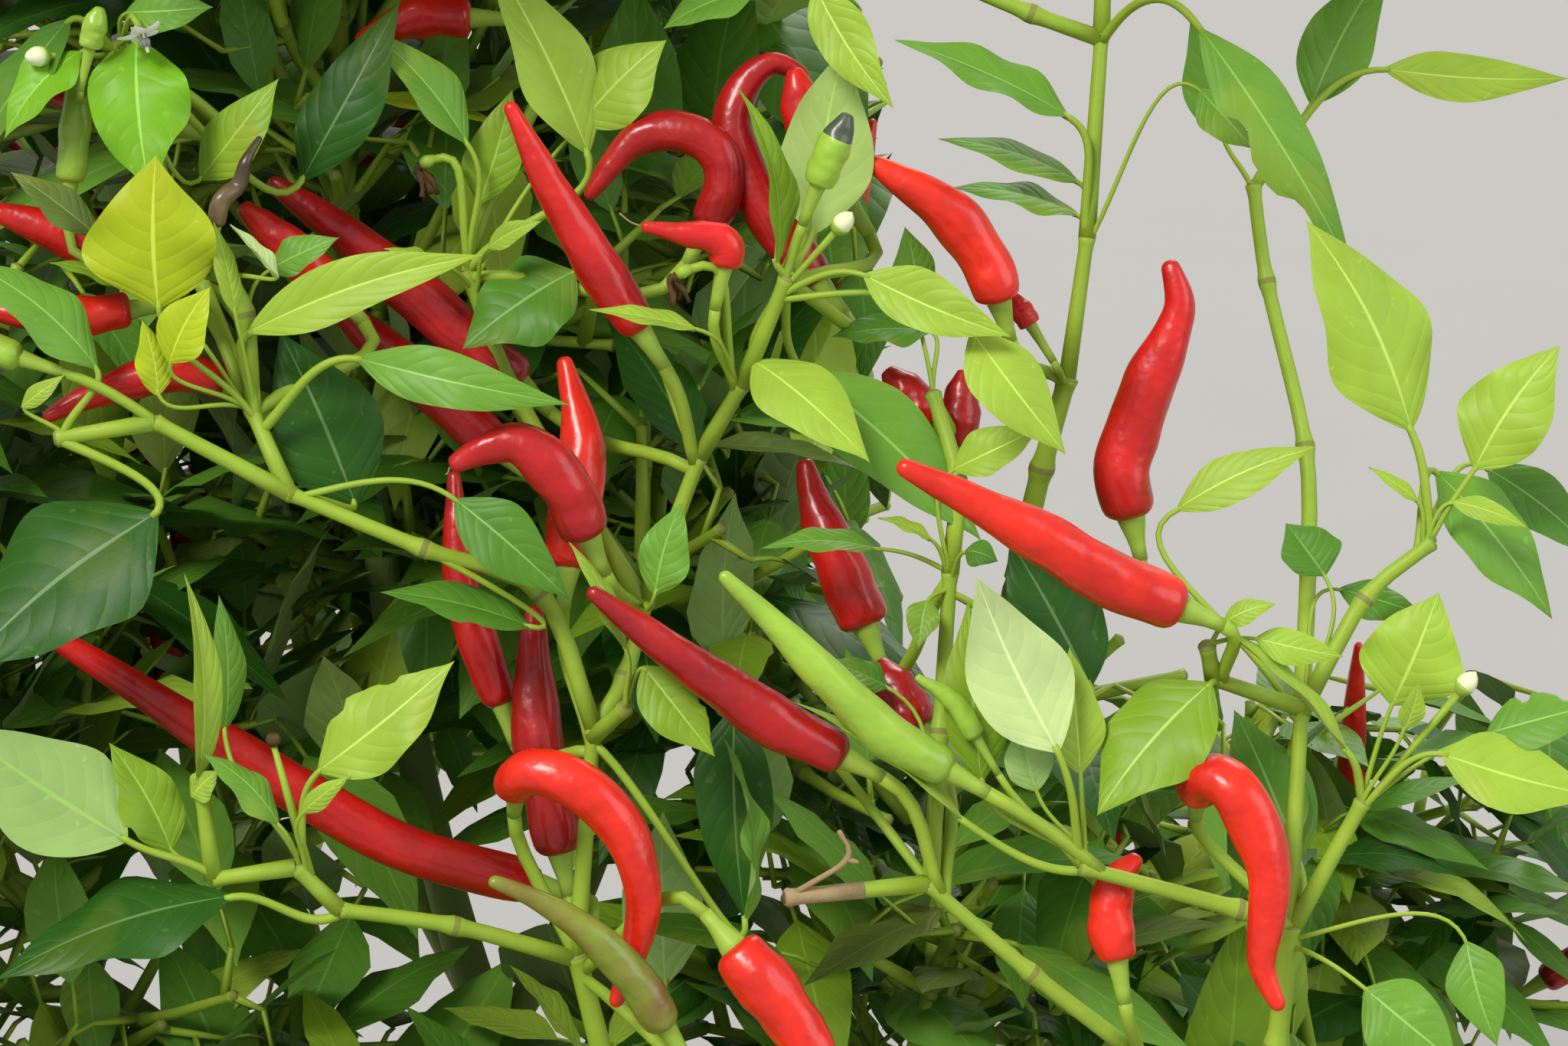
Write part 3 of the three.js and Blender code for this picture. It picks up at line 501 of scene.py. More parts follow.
def pod_body(heaps, pod, fineness, phase):
    """A pod, its calyx and its stalk, and the dry hair at its tip where it has one."""
    sides, rings = fineness
    shares = np.concatenate([[0, 0.006, 0.018, 0.034], np.linspace(0.055, 0.955, rings),
                             [0.976, 0.985, 0.993, 0.998, 1]])
    line = pod_line(pod["way"], shares, phase)
    t, angles = shares[:, None], np.linspace(0, 2 * math.pi, sides, endpoint=False)
    dents = (0.04 * np.sin(2 * angles + 9 * t + phase) * np.sin(13 * t + phase)
             + 0.025 * np.sin(3 * angles - 17 * t + 2 * phase) + 0.035 * np.sin(14 * t + 3 * phase)
             + 0.012 * np.sin(37 * t + 5 * phase) * np.sin(angles + phase))
    swell = np.maximum(pod_swell(t, pod["blunt"]), 0.015)
    looks = np.full(len(shares) - 1, POD_NAMES.index(pod["colour"]))
    looks[shares[:-1] > pod.get("dark_from", 1)] = POD_NAMES.index("dusky")
    tube(heaps.pods, line, pod["girth"] / 2 * swell * (1 + dents), sides, looks)
    if "hair" in pod:
        end = line[-1] + pod["hair"]
        tube(heaps.twigs, rounded([line[-1], lerp(line[-1], end, 0.5) - UP * 0.5, end], 3), 0.16, 5, "dry")
    direction = unit(line[1] - line[0])
    radius = PEDICEL_RADIUS * min(1.0, pod["girth"] / 8.5)
    calyx(heaps.twigs, line[0], direction, radius, pod["girth"] / 2 * CALYX_WIDTH, sides, phase)
    stalk(heaps.twigs, pod["node"], line[0] - direction * 7.6, direction, radius * 0.92, radius, 0.05,
          sides=10 if fineness == FINE_POD else 5)


def calyx(heap, foot, direction, radius, cup, sides, phase):
    """The green cup at a pod's foot, with five blunt teeth. Its line turns back inside its rim, so
    its rings stay square to one axis."""
    line = foot + direction * np.array([-8.0, -5.5, -3.6, -2.0, -0.8, 0.1, 0.5, 0.3])[:, None]
    radii = np.array([radius, radius * 1.08, lerp(radius, cup, 0.34), lerp(radius, cup, 0.66),
                      cup * 0.95, cup * 1.03, cup * 0.99, cup * 0.8])
    angles = np.linspace(0, 2 * math.pi, sides, endpoint=False)
    teeth = 1 + np.outer([0, 0, 0, 0, 0.01, 0.035, 0.05, 0], np.cos(angles * 5 + phase))
    axis = unit(line[1] - line[0])
    across = square_to(axis)
    ring = circle(across, np.cross(axis, across), sides)
    skin(heap, line[:, None] + ring * (radii[:, None] * teeth)[:, :, None], (line[0], line[-1]),
         heap.looks.index("calyx"))


def make_leaf(base, tip, width, facing, tint, rng, **more):
    """What blade_points() needs to know of a leaf. What isn't given is drawn."""
    leaf = {"base": base, "tip": tip, "width": width, "facing": facing, "tint": tint, "bite": 0.0,
            "arch": rng.uniform(0.02, 0.10), "fold": rng.uniform(0.08, 0.42),
            "wave": rng.uniform(0.03, 0.13), "phase": rng.uniform(0, 6.28),
            "skew": rng.uniform(-0.06, 0.06)}
    leaf.update(more)
    return leaf


# The limbs: name, carrier, share of the carrier's length where it leaves, bend, tip, two radii
WOOD_PLAN = [
    ("bough_front", "trunk", 0.9, (0, -42, 204), (4, -74, 248), 6.4, 5),
    ("bough_left", "trunk", 0.93, (-40, 2, 212), (-66, 12, 264), 6.2, 5),
    ("bough_right", "trunk", 0.96, (24, 14, 216), (40, 18, 268), 6, 4.8),
    ("bough_right_front", "bough_front", 1, (24, -118, 268), (86, -128, 306), 4.6, 3.2),
    ("bough_left_front", "bough_front", 0.75, (-16, -98, 244), (-31, -116, 311), 4.2, 3.2),
    ("bough_low_front", "bough_front", 0.5, (-30, -62, 205), (-58, -88, 224), 3.8, 3),
    ("bough_left_top", "bough_left", 1, (-84, 18, 320), (-88, 4, 412), 4.8, 3.2),
    ("bough_left_low", "bough_left", 0.6, (-96, -10, 238), (-146, -34, 300), 4.4, 3.2),
    ("bough_left_back", "bough_left", 0.8, (-78, 56, 262), (-112, 84, 316), 4.4, 3.2),
    ("bough_heart", "bough_left", 0.97, (-44, 26, 286), (-34, 18, 330), 3.8, 3),
    ("bough_upper_right", "bough_right", 1, (50, 10, 320), (45, -60, 399), 4.6, 3),
    ("bough_right_back", "bough_right", 0.75, (50, 62, 232), (84, 84, 252), 4, 3),
    ("bough_right_side", "bough_right", 0.5, (66, -14, 216), (116, -50, 232), 4, 3),
    ("bough_back", "bough_right", 0.93, (22, 60, 282), (-4, 92, 318), 4, 3),
    ("bough_centre", "bough_front", 0.3, (34, -40, 214), (32, -36, 250), 3.8, 3),
]

# The masses that grow by the rule: name, carrier, middle and half size of the space, nodes of the
# first stem, twigs at each node
GROWN_PLAN = [
    ("leaves_left_top", "bough_left_top", (-92, 16, 502), (128, 124, 118), 5, 5),
    ("leaves_left_low", "bough_left_low", (-172, -50, 350), (112, 116, 116), 5, 6),
    ("leaves_left_back", "bough_left_back", (-134, 116, 372), (124, 112, 118), 5, 6),
    ("leaves_heart", "bough_heart", (-30, 36, 386), (112, 110, 92), 4, 7),
    ("leaves_back", "bough_back", (-8, 146, 372), (124, 108, 116), 5, 6),
    ("leaves_right_back", "bough_right_back", (112, 120, 276), (120, 116, 104), 5, 6),
    ("leaves_right_side", "bough_right_side", (150, -70, 256), (108, 112, 92), 4, 6),
    ("leaves_low_front", "bough_low_front", (-84, -104, 250), (118, 100, 96), 4, 6),
    ("leaves_centre", "bough_centre", (34, -34, 312), (92, 84, 84), 3, 6),
]
# How likely a twig's node is to bear a pod
POD_CHANCE = 0.3

# Which masses are joined into one group of pieces
GROUPS = {
    "front": ["leaves_left_front", "leaves_right_front", "leaves_upper_right"],
    "upper": ["leaves_left_top", "leaves_heart"],
    "left": ["leaves_left_low", "leaves_low_front"],
    "back": ["leaves_left_back", "leaves_back"],
    "right": ["leaves_right_back", "leaves_right_side", "leaves_centre"],
}

# The front shoots, as a viewer sees them. A stem runs from a named node through its points to a node
# with its own name. A leaf is (node, blade base, tip, width, turn in degrees, tint), and a pod is
# (node, girth, colour, how blunt, its places from calyx to tip). Either may end with what else is
# known of it. What stands under "buds" is (node, place, kind).
LEFT_FRONT = {
    "carrier": "bough_left_front",
    "stems": [
        ("root", "low", (-37.9, -78.3, -14)),
        ("low", "fork", (-34.7, -36.9, -8)),
        ("fork", "far", (-44.3, -12.9, -6), (-65.7, -4.7, 0), (-90.7, 5.6, 2)),
        ("far", "cluster", (-97.1, 21, -2)),
        ("far", "rim", (-115, 18.6, 5)),
        ("rim", "edge", (-133, 15.3, 6)),
        ("low", "elbow", (-60, -73.4, -6), (-81.4, -70.4, 0)),
        ("elbow", "corner", (-89.3, -62.4, 3)),
        ("fork", "inner", (-29, -28, -16), (-25, -13.6, -18)),
        ("inner", "middle", (-15.3, 12.4, -14)),
        ("middle", "bend", (-7.5, 25.5, -8)),
        ("bend", "crest", (0.7, 45, 0)),
        ("corner", "tuft", (-104.5, -65, 4)),
        ("tuft", "spike", (-106, -49, 7)),
        ("cluster", "haulm", (-98, 38, 0), (-102, 46, 2)),
        ("fork", "spray", (-28.6, -33.5, -1)),
        ("inner", "sprig", (-48, 22, -30), (-58, 46, -26)),
        ("cluster", "garland", (-110, 54, -14), (-122, 88, -8)),
        ("crest", "crown", (9, 68, -34), (10, 102, -28)),
    ],
    "leaves": [
        ("edge", (-114, 2, 6), (-150, -27, 12), 30, 0, "deep", {"fold": 0.12, "wave": 0.05}),
        ("cluster", (-98, 34.5, 2), (-54.7, 48.9, 8), 12, 26, "bright", {"fold": 0.4}),
        ("cluster", (-114, 39, 8), (-114.5, 67, 14), 24, 5, "yellow", {"fold": 0.1, "wave": 0.10}),
        ("cluster", (-119, 42.7, 2), (-134, 47.4, 4), 6, 20, "lime"),
        ("far", (-60, 4.4, 4), (-39, -14, 6), 13, 20, "mid"),
        ("far", (-46, -19, -2), (-73.7, -12.6, 4), 13, 20, "mid", {"bite": 0.15}),
        ("elbow", (-100.5, -68, 6), (-144, -83.5, 14), 19, 12, "deep", {"wave": 0.12, "lift": -0.32}),
        ("tuft", (-119.5, -58, 10), (-151, -37, 14), 22, 170, "fresh", {"fold": 0.15}),
        ("corner", (-85, -45.4, 8), (-60, -25.1, 12), 16, 10, "bright",
         {"bite": 0.16, "fold": 0.2, "phase": 4.9}),
        ("spike", (-107, -47.6, 9), (-109.3, -9, 12), 9, 55, "bright", {"fold": 0.5, "wave": 0.02}),
        ("middle", (-38, 46, -24), (-58.6, 31.7, -20), 20, 0, "mid", {"fold": 0.12}),
        ("sprig", (-35.6, 67, -22), (-54, 104, -18), 17, 10, "bright"),
        ("crest", (-5.7, 29.6, -6), (15.7, 11, 8), 15, 0, "bright"),
        ("crest", (2.9, 28.1, -14), (36, -3.3, -13), 19, 0, "fresh", {"fold": 0.18}),
        ("crest", (5, 52.4, -5), (11, 87.5, -9), 19, 175, "lime", {"fold": 0.3, "wave": 0.1}),
        ("crest", (14.3, 45.3, 6), (41.4, 33.9, 12), 12, 25, "bright", {"fold": 0.4}),
        ("crest", (34, 35, 6), (51.4, 12.4, 10), 14, 5, "bright", {"fold": 0.2}),
        ("cluster", (-78, 30, 6), (-39, 21.5, 10), 11, 25, "fresh", {"arch": 0.12}),
        ("crest", (-1.4, 46.7, 2), (-8.6, 79.6, 6), 10, 45, "lime", {"fold": 0.5}),
        ("bend", (-15.7, 35.3, 6), (-35.7, 38.9, 10), 8, 25, "bright"),
        ("inner", (-23.6, -13.3, 4), (-18.6, 3.9, 6), 10, 0, "fresh", {"fold": 0.15}),
        ("spray", (-28.6, -23.3, 4), (-39.3, -3.3, 8), 7, 40, "bright"),
        ("spray", (-25.7, -26, 2), (-12.6, -42.6, 6), 12, 10, "lime", {"bite": 0.2}),
        ("sprig", (-57.6, 69, -20), (-76, 90, -16), 12, 10, "fresh"),
        ("sprig", (-55.5, 58, -26), (-49.5, 79, -26), 11, 10, "lime"),
        ("sprig", (-37, 72.4, -24), (-21.4, 88, -20), 17, 5, "bright"),
        ("sprig", (-62, 47, -20), (-73, 50, -16), 5, 20, "bright"),
        ("sprig", (-54, 50, -20), (-44, 55, -16), 5, 20, "bright"),
        ("garland", (-106.4, 62.4, -6), (-92, 81, -2), 12, 10, "lime"),
        ("garland", (-118, 88, 0), (-115.5, 60, 8), 19, 0, "vivid", {"fold": 0.15, "wave": 0.2}),
        ("garland", (-128, 86, 0), (-142, 70, 4), 12, 5, "vivid", {"fold": 0.35}),
        ("garland", (-130, 92, -2), (-149, 64, 0), 14, 15, "mid"),
        ("garland", (-120, 93, 0), (-104, 94, 4), 10, 20, "fresh"),
        ("garland", (-88, 62, -14), (-70, 95, -16), 14, 10, "deep"),
        ("cluster", (-114, 23, 8), (-117, 37, 10), 7, 20, "yellow"),
        ("cluster", (-112, 29, 9), (-104.5, 43, 12), 11, 10, "yellow"),
        ("edge", (-125, 28, 8), (-150, 48, 12), 13, 10, "fresh", {"fold": 0.15}),
        ("haulm", (-125, 52, 4), (-141, 64, 6), 9, 10, "dull"),
        ("crown", (5.5, 98, -6), (20, 75.5, 0), 11, 25, "bright", {"fold": 0.35, "wave": 0.12}),
        ("crown", (-5, 97, -20), (-22, 90, -20), 13, 10, "fresh"),
        ("haulm", (-92, 44.5, 6), (-101, 54.5, 8), 5, 30, "pale", {"fold": 0.7}),
        ("cluster", (-100, 38, 6), (-104, 55, 8), 6, 40, "bright"),
        ("cluster", (-94, 46, -2), (-81, 52, 2), 8, 10, "fresh"),
        ("far", (-78, 3, -8), (-92, 35, -10), 21, 0, "deep", {"fold": 0.1}),
        ("edge", (-139, 21, 8), (-131, 27, 10), 4, 20, "bright"),
        ("tuft", (-111.5, -60, 4), (-123, -40, 6), 13, 5, "lime", {"bite": 0.1}),
        ("spike", (-108, -50, 8), (-103, -45, 10), 6, 10, "bright"),
        ("corner", (-92, -55, 10), (-106, -42, 12), 8, 20, "fresh"),
        ("corner", (-88, -53, 10), (-79, -46, 12), 4, 30, "bright"),
        ("corner", (-102, -38, -8), (-103, -13, -6), 9, 45, "fresh"),
        ("fork", (-7, -73, -10), (-11, -39, -8), 8, 60, "fresh", {"wave": 0.4}),
    ],
    "pods": [
        ("fork", 9.8, "scarlet", 2.5, (-39.4, -8.3, -16), (-38.2, 2, -17), (-36.6, 14, -19),
         (-40.2, 30.3, -22)),
        ("inner", 10.2, "crimson", 2.4, (-35.7, -2.4, 0), (-40.6, 7.9, 4), (-48, 14.3, 6),
         (-54.5, 13.4, 7), (-60.9, 10.2, 7), {"hair": np.array([-0.8, 0, -1.4])}),
        ("middle", 8.8, "red", 2.2, (-26.1, 35, -4), (-34.6, 48, -1), (-43.4, 63, 2), (-50.3, 76.7, 4)),
        ("bend", 6.8, "red", 1.75, (-11, 46.6, 4), (-10.4, 50.4, 5), (-14, 52.2, 6), (-19, 52.8, 7),
         (-25.9, 54.1, 8), {"hair": np.array([-4, 0, 2.4])}),
        ("low", 9.6, "red", 2.8, (-44.3, -66.1, -28), (-58, -62.5, -27), (-74.3, -56.9, -26),
         (-104.3, -39, -24), (-122, -27.5, -23), (-139.5, -17, -22)),
        ("low", 9.2, "scarlet", 2.4, (-48.8, -49, 2), (-48.4, -46.6, 6), (-45.6, -45.4, 9),
         (-40, -46.4, 10), (-34.4, -50, 10), (-29.6, -55.6, 9), (-26.6, -62.5, 8), (-25.6, -70.4, 6),
         (-27.4, -78.3, 4), (-31, -88.2, 2)),
        ("low", 11, "scarlet", 2.6, (-9.3, -77.2, 6), (-2, -86, 7), (11.4, -104, 8)),
        ("low", 7.8, "turning", 1.9, (-21.4, -91.9, 8), (-27.6, -82.6, 11), (-36.1, -74.3, 14),
         (-45, -68.6, 15), (-53.8, -65, 16)),
        ("cluster", 7.6, "red", 2.4, (-101.7, 25.3, -10), (-107, 27.2, -9), (-114.3, 27, -8),
         (-125.7, 23.4, -6), (-135, 19, -4)),
        ("cluster", 8.6, "red", 2.6, (-114, 46, -14), (-125, 49.5, -12), (-136, 54.3, -10),
         (-147, 57.6, -8)),
        ("middle", 10.4, "crimson", 2.8, (-48, 25, -34), (-64, 39, -33), (-80, 52.5, -31),
         (-94, 62.6, -30)),
        ("inner", 9.4, "crimson", 2.8, (-51.4, 13, -40), (-86, 44, -38)),
        ("sprig", 8.4, "red", 2.6, (-57, 92, -44), (-67, 92, -44), (-78, 87.5, -44)),
        ("sprig", 8, "crimson", 3, (-14.3, 54, -22), (-11, 61, -21), (-12, 67.5, -20), (-19, 71.3, -20),
         (-27.5, 69.5, -20), (-36, 59, -20)),
        ("crest", 9, "crimson", 2.8, (6.4, 43.9, -26), (-3.5, 57, -25), (-9.4, 71, -24), (-7, 80, -24),
         (-1.6, 83.8, -24), (4.4, 81, -24)),
        ("crest", 8.6, "red", 4.4, (11.4, 58.9, -22), (5, 69, -20), (1.8, 83, -18)),
        ("cluster", 7.6, "scarlet", 2.6, (-119, 38.9, -6), (-132, 37.4, -4), (-146, 38.8, -2)),
        ("garland", 8, "crimson", 2.4, (-110, 72, -16), (-139, 80, -14)),
        ("rim", 6.6, "green", 2.4, (-139, 30, 9), (-155, 35.5, 9), (-172, 44, 8)),
        ("garland", 4.6, "green", 4, (-126.5, 86.5, 5), (-125.6, 90.5, 6), (-124.6, 94, 7)),
        ("haulm", 6, "green", 3, (-130, 62, -6), (-129, 74, -5), (-128.6, 84, -5)),
        ("haulm", 3.6, "dried", 2.0, (-103.4, 54, 5), (-102.6, 58.6, 6), (-99.4, 61.6, 5), (-98, 66, 6),
         (-95.4, 70.4, 4)),
        ("cluster", 8.8, "red", 2.8, (-82, 42, -20), (-99, 58, -16)),
        ("fork", 8, "red", 2.6, (-51.4, -33.3, -24), (-58.5, -12, -25), (-60.2, 9.6, -26)),
        ("low", 10, "crimson", 3, (-40.7, -60.4, -18), (-45, -38, -19), (-45.6, -15, -20)),
        ("crest", 6.4, "green", 3.8, (6.2, 61.6, 6), (8.4, 67.2, 8), (11.8, 74.6, 10),
         {"dark_from": 0.64}),
    ],
    "buds": [
        ("crest", (9.3, 53, 5), "bud"),
        ("bend", (-17.9, 46, 6), "withered"),
        ("corner", (-93, -40.5, 7), "stub"),
        ("garland", (-117, 89, 6), "flower"),
        ("garland", (-134, 85, 2), "bud"),
        ("sprig", (-64.5, 66, -22), "withered"),
    ],
}
RIGHT_FRONT = {
    "carrier": "bough_right_front",
    "stems": [
        ("root", "base", (64, -96.5, -16)),
        ("base", "low", (45, -82, -9), (25.7, -65.4, -4)),
        ("low", "dry", (0, -68.3, 4)),
        ("low", "spire", (28.4, -38, -12), (30.3, -8.7, -12)),
        ("root", "joint", (89.7, -95.3, -8), (92.1, -73, -4)),
        ("joint", "middle", (82.9, -70.4, -2), (53.6, -62.6, 2)),
        ("joint", "upper", (94.3, -33.3, -8)),
        ("upper", "inner", (77.9, -28.3, 0)),
        ("upper", "edge", (105.7, -14, -10), (118.3, -3.3, -10)),
        ("joint", "outer", (105.7, -50.4, 0)),
        ("inner", "perch", (77, -22, 6)),
        ("spire", "finial", (31.5, 8, -12), (27, 24, -16)),
        ("upper", "haze", (95.5, -8, -36), (95, 14, -50), (88, 44, -55), (85.5, 62, -56)),
    ],
    "leaves": [
        ("middle", (50, -41.9, 12), (35, -9.7, 16), 19, 170, "pale", {"fold": 0.12, "wave": 0.06}),
        ("middle", (54, -46, 4), (52, -22.6, 4), 11, 10, "bright"),
        ("middle", (33, -54.5, 4), (1.5, -32.5, 6), 8, 35, "bright", {"fold": 0.4, "lift": -0.2}),
        ("middle", (36, -47.5, 2), (33.5, -14, 0), 12, 5, "lime", {"fold": 0.1}),
        ("inner", (77.9, -29, 4), (57, -53.3, 8), 20, 5, "lime", {"fold": 0.12}),
        ("perch", (85.7, -21, 6), (102, -24.4, 8), 7, 20, "bright"),
        ("outer", (103, -42, 4), (77, -17.6, 8), 9, 40, "bright", {"fold": 0.45}),
        ("edge", (114.3, 16.7, -8), (95, 55.3, -6), 22, 0, "bright", {"fold": 0.1}),
        ("edge", (125.7, 9.6, -8), (141.4, 32.4, -6), 17, 5, "bright", {"fold": 0.15}),
        ("outer", (110.7, -33.3, 2), (119.3, -12.6, 4), 19, 5, "bright", {"fold": 0.12}),
        ("outer", (127.9, -38.5, 2), (148.6, -33, 4), 12, 0, "fresh", {"bite": 0.3}),
        ("joint", (124.3, -76.1, 0), (130, -95.3, 2), 11, 20, "fresh"),
        ("upper", (92, -42, -24), (82, -70, -26), 16, 0, "mid"),
        ("low", (-9, -33, -22), (-7, -73, -24), 16, 10, "deep"),
        ("perch", (80, -18.3, 8), (89.7, -14.7, 10), 5, 10, "bright"),
        ("edge", (115.7, 3.9, -8), (106.4, 10.3, -6), 4, 10, "bright"),
        ("edge", (121.4, 3.9, -8), (135.7, -1.1, -6), 5, 10, "bright"),
        ("outer", (119.5, -42, 6), (149, -50, 8), 15, 10, "bright", {"fold": 0.2}),
        ("outer", (113, -37.6, 6), (115.7, -29, 8), 5, 20, "bright"),
        ("joint", (105.7, -84.7, 4), (123, -99, 8), 15, 20, "fresh"),
        ("upper", (71.4, 2.4, -16), (97, 13.9, -12), 10, 10, "bright"),
        ("upper", (98.6, -9.7, -14), (91.4, 0, -18), 13, 0, "mid"),
        ("upper", (101, -12, -22), (117, -17, -22), 9, 0, "mid"),
        ("edge", (118.6, 9.6, -18), (140, -17.6, -20), 16, 0, "fresh"),
        ("edge", (128, 10, -26), (148, -6, -26), 14, 0, "mid"),
        ("joint", (94, -62, -22), (82, -34, -26), 18, 0, "mid"),
        ("spire", (27, -3, -8), (17, 1, -4), 5, 20, "bright"),
        ("spire", (33, -5, -6), (39, -7, -4), 6, 10, "mid"),
        ("spire", (26, -14, -8), (24.5, -23, -4), 7, 0, "fresh"),
        ("spire", (56, -30, -24), (41, -3, -26), 21, 0, "deep"),
        ("spire", (30.7, 9.6, -8), (47, 17.4, -6), 10, 10, "bright"),
        ("finial", (27, 35, -20), (8.6, 33.9, -18), 11, 10, "mid"),
        ("finial", (24, 40, -20), (22, 54, -18), 9, 10, "fresh"),
        ("spire", (17, -4.7, -16), (-4.3, -4.7, -14), 8, 15, "fresh"),
        ("middle", (46, -49, 4), (43, -36, 6), 9, 175, "fresh"),
        ("low", (19, -30, -12), (8, -25, -10), 8, 10, "mid"),
        ("haze", (96, 76, -56), (110, 102, -58), 15, 0, "fresh"),
        ("haze", (109, 82.7, -54), (143, 81, -54), 10, 30, "bright"),
        ("haze", (80, 70, -56), (74, 92, -56), 13, 0, "fresh"),
    ],
    "pods": [
        ("low", 9.8, "crimson", 2.2, (10.9, -42.7, 4), (-2.5, -35.7, 6), (-13.7, -28.1, 8),
         (-25.7, -19.6, 10), (-35.7, -12, 12)),
        ("joint", 9.6, "scarlet", 2.4, (75.4, -49.6, 0), (75.8, -47.2, 4), (78.2, -46.4, 8),
         (82, -48.6, 10), (85.6, -54.7, 10), (88.2, -63, 10), (88, -72, 10), (87, -80, 10),
         (88.6, -85, 10), (90.6, -88.8, 10)),
        ("middle", 8.6, "green", 2.1, (30.1, -45.2, 8), (18.3, -38.2, 9), (5.8, -26, 10), (-3, -17.2, 11),
         (-11.6, -9, 12)),
        ("inner", 10.9, "scarlet", 2.15, (72.6, -15.6, 12), (58, -9.4, 14), (44.2, -1.2, 17),
         (20.7, 10.8, 22)),
        ("base", 8.6, "scarlet", 3, (60.7, -79.7, -6), (59.4, -71.5, -6), (61, -65, -6),
         (64.8, -60.6, -6)),
        ("spire", 10.6, "red", 2.4, (15, -19, -32), (10, -7, -33), (6, 2.4, -34), (3.6, 11.6, -36)),
        ("middle", 4.4, "green", 2.2, (35, -39, 6), (31, -32.6, 7), (24, -27.9, 8)),
        ("finial", 9, "red", 3, (27, 18, -28), (18.6, 28, -28)),
        ("finial", 8, "crimson", 3, (31.4, 13.9, -24), (32.9, 28, -24)),
        ("low", 10, "crimson", 3, (24.3, -37.6, -20), (17, -25, -22)),
    ],
    "buds": [
        ("outer", (122.9, -31, 6), "bud"),
        ("dry", (10, -56, 6), "dead"),
    ],
}
UPPER_RIGHT = {
    "carrier": "bough_upper_right",
    "stems": [
        ("root", "knot", (47, 10, -38), (51.7, 26.7, -34)),
        ("knot", "high", (55.3, 52.4, -33)),
        ("high", "collar", (57.9, 89.5, -33)),
        ("collar", "top", (58.5, 112, -36)),
        ("collar", "wing", (45, 92.8, -32), (30, 99, -32)),
    ],
    "leaves": [
        ("high", (52.1, 73.9, -28), (20, 88.1, -24), 15, 15, "fresh", {"wave": 0.12}),
        ("high", (75.7, 78.9, -24), (85.7, 68, -24), 10, 10, "fresh", {"bite": 0.4}),
        ("collar", (75.5, 90.4, -12), (103.8, 45, -16), 14, 10, "fresh",
         {"bite": 0.42, "arch": 0.1, "lift": 0.4}),
        ("wing", (25, 104, -30), (4, 118, -30), 15, 10, "fresh"),
        ("high", (54, 62, -38), (28, 70, -36), 11, 20, "fresh"),
        ("high", (54, 56, -40), (30, 61, -38), 10, 20, "fresh"),
    ],
    "pods": [
        ("root", 11, "red", 2.4, (63.3, 0.9, -16), (61.6, 9.6, -15), (64.6, 20.2, -14), (68, 28.7, -12),
         (70.9, 35.4, -11), (72.1, 40.8, -10), (70, 47.9, -10)),
        ("knot", 10, "scarlet", 2.7, (39.2, 40.5, -16), (38.2, 44, -15), (36.2, 48.4, -15),
         (32.6, 53.8, -14), (26.6, 59.2, -12), (20.4, 62.9, -11), (15.6, 65.9, -10)),
        ("knot", 4.8, "red", 2.8, (45, 36, -26), (41, 42, -26)),
    ],
    "buds": [],
}
FRONT_SHOOTS = [LEFT_FRONT, RIGHT_FRONT, UPPER_RIGHT]

# The shoot that grows on above the view, from the top of the last front shoot
TOP_SEED = 311
TOP_HEADING = np.array([0.1, 0.25, 1.0])
TOP_STEM_NODES = 1
TOP_TWIGS = 5

# Where the seeds of the front shoots and of the grown masses start, and their steps
FRONT_SEED = 900
GROWN_SEED = 101
GROWN_SEED_STEP = 17
GOAL_SEED_STEP = 211
FILLER_SEED = 1900
BRANCH_SEED_STEP = 53


def walk(start, heading, count, step, roll):
    """Straight stretches that swing from side to side and lift towards the light."""
    nodes = [start]
    direction = unit(heading)
    side = square_to(direction)
    for i in range(1, count + 1):
        swing = (ZIGZAG if i % 2 else -ZIGZAG) * roll(0.6, 1.2)
        direction = unit(direction + side * swing + UP * LIFT)
        nodes.append(nodes[-1] + direction * step * roll(0.85, 1.15))
    return nodes


def heading_at(nodes, i):
    """The direction in which a line of nodes arrives at one of them."""
    return unit(nodes[max(i, 1)] - nodes[max(i - 1, 0)])


def socket(nodes, i, order, step=LEAF_STEP):
    """Where a twig, leaf or pod leaves a node: just below it, each one lower than the last."""
    return nodes[i] - heading_at(nodes, i) * step * (order + 0.5)


def grown_leaf(node, heading, turn, roll):
    """A leaf of the rule, on its petiole at a turn round the twig."""
    outward = aside(heading, turn, 1)
    length = roll(*LEAF_LENGTHS)
    base = node + outward * length * PETIOLE_SHARE * roll(0.8, 1.2)
    along = unit(outward + UP * roll(-0.7, 0.2))
    tip = base + along * length
    width = length * LEAF_PROPORTION * roll(0.85, 1.15)
    facing = UP + outward * 0.4
    return {"node": node, "base": base, "tip": tip, "width": width, "facing": facing}


def grown_pod(node, heading, turn, roll):
    """A pod of the rule, upright on a stalk that leans outward."""
    outward = aside(heading, turn, 0.9)
    direction = unit(outward + UP * 0.7)
    calyx = node + direction * PEDICEL_LENGTH * roll(0.8, 1.2)
    lean = unit(UP + outward * roll(0.1, 0.9))
    length = roll(*POD_LENGTHS)
    tip = calyx + lean * length
    bow = square_to(lean) * length * roll(-0.07, 0.07)
    way = [calyx, lerp(calyx, tip, 1 / 3) + bow, lerp(calyx, tip, 2 / 3) + bow, tip]
    return {"node": node, "way": way, "girth": roll(*POD_GIRTHS)}


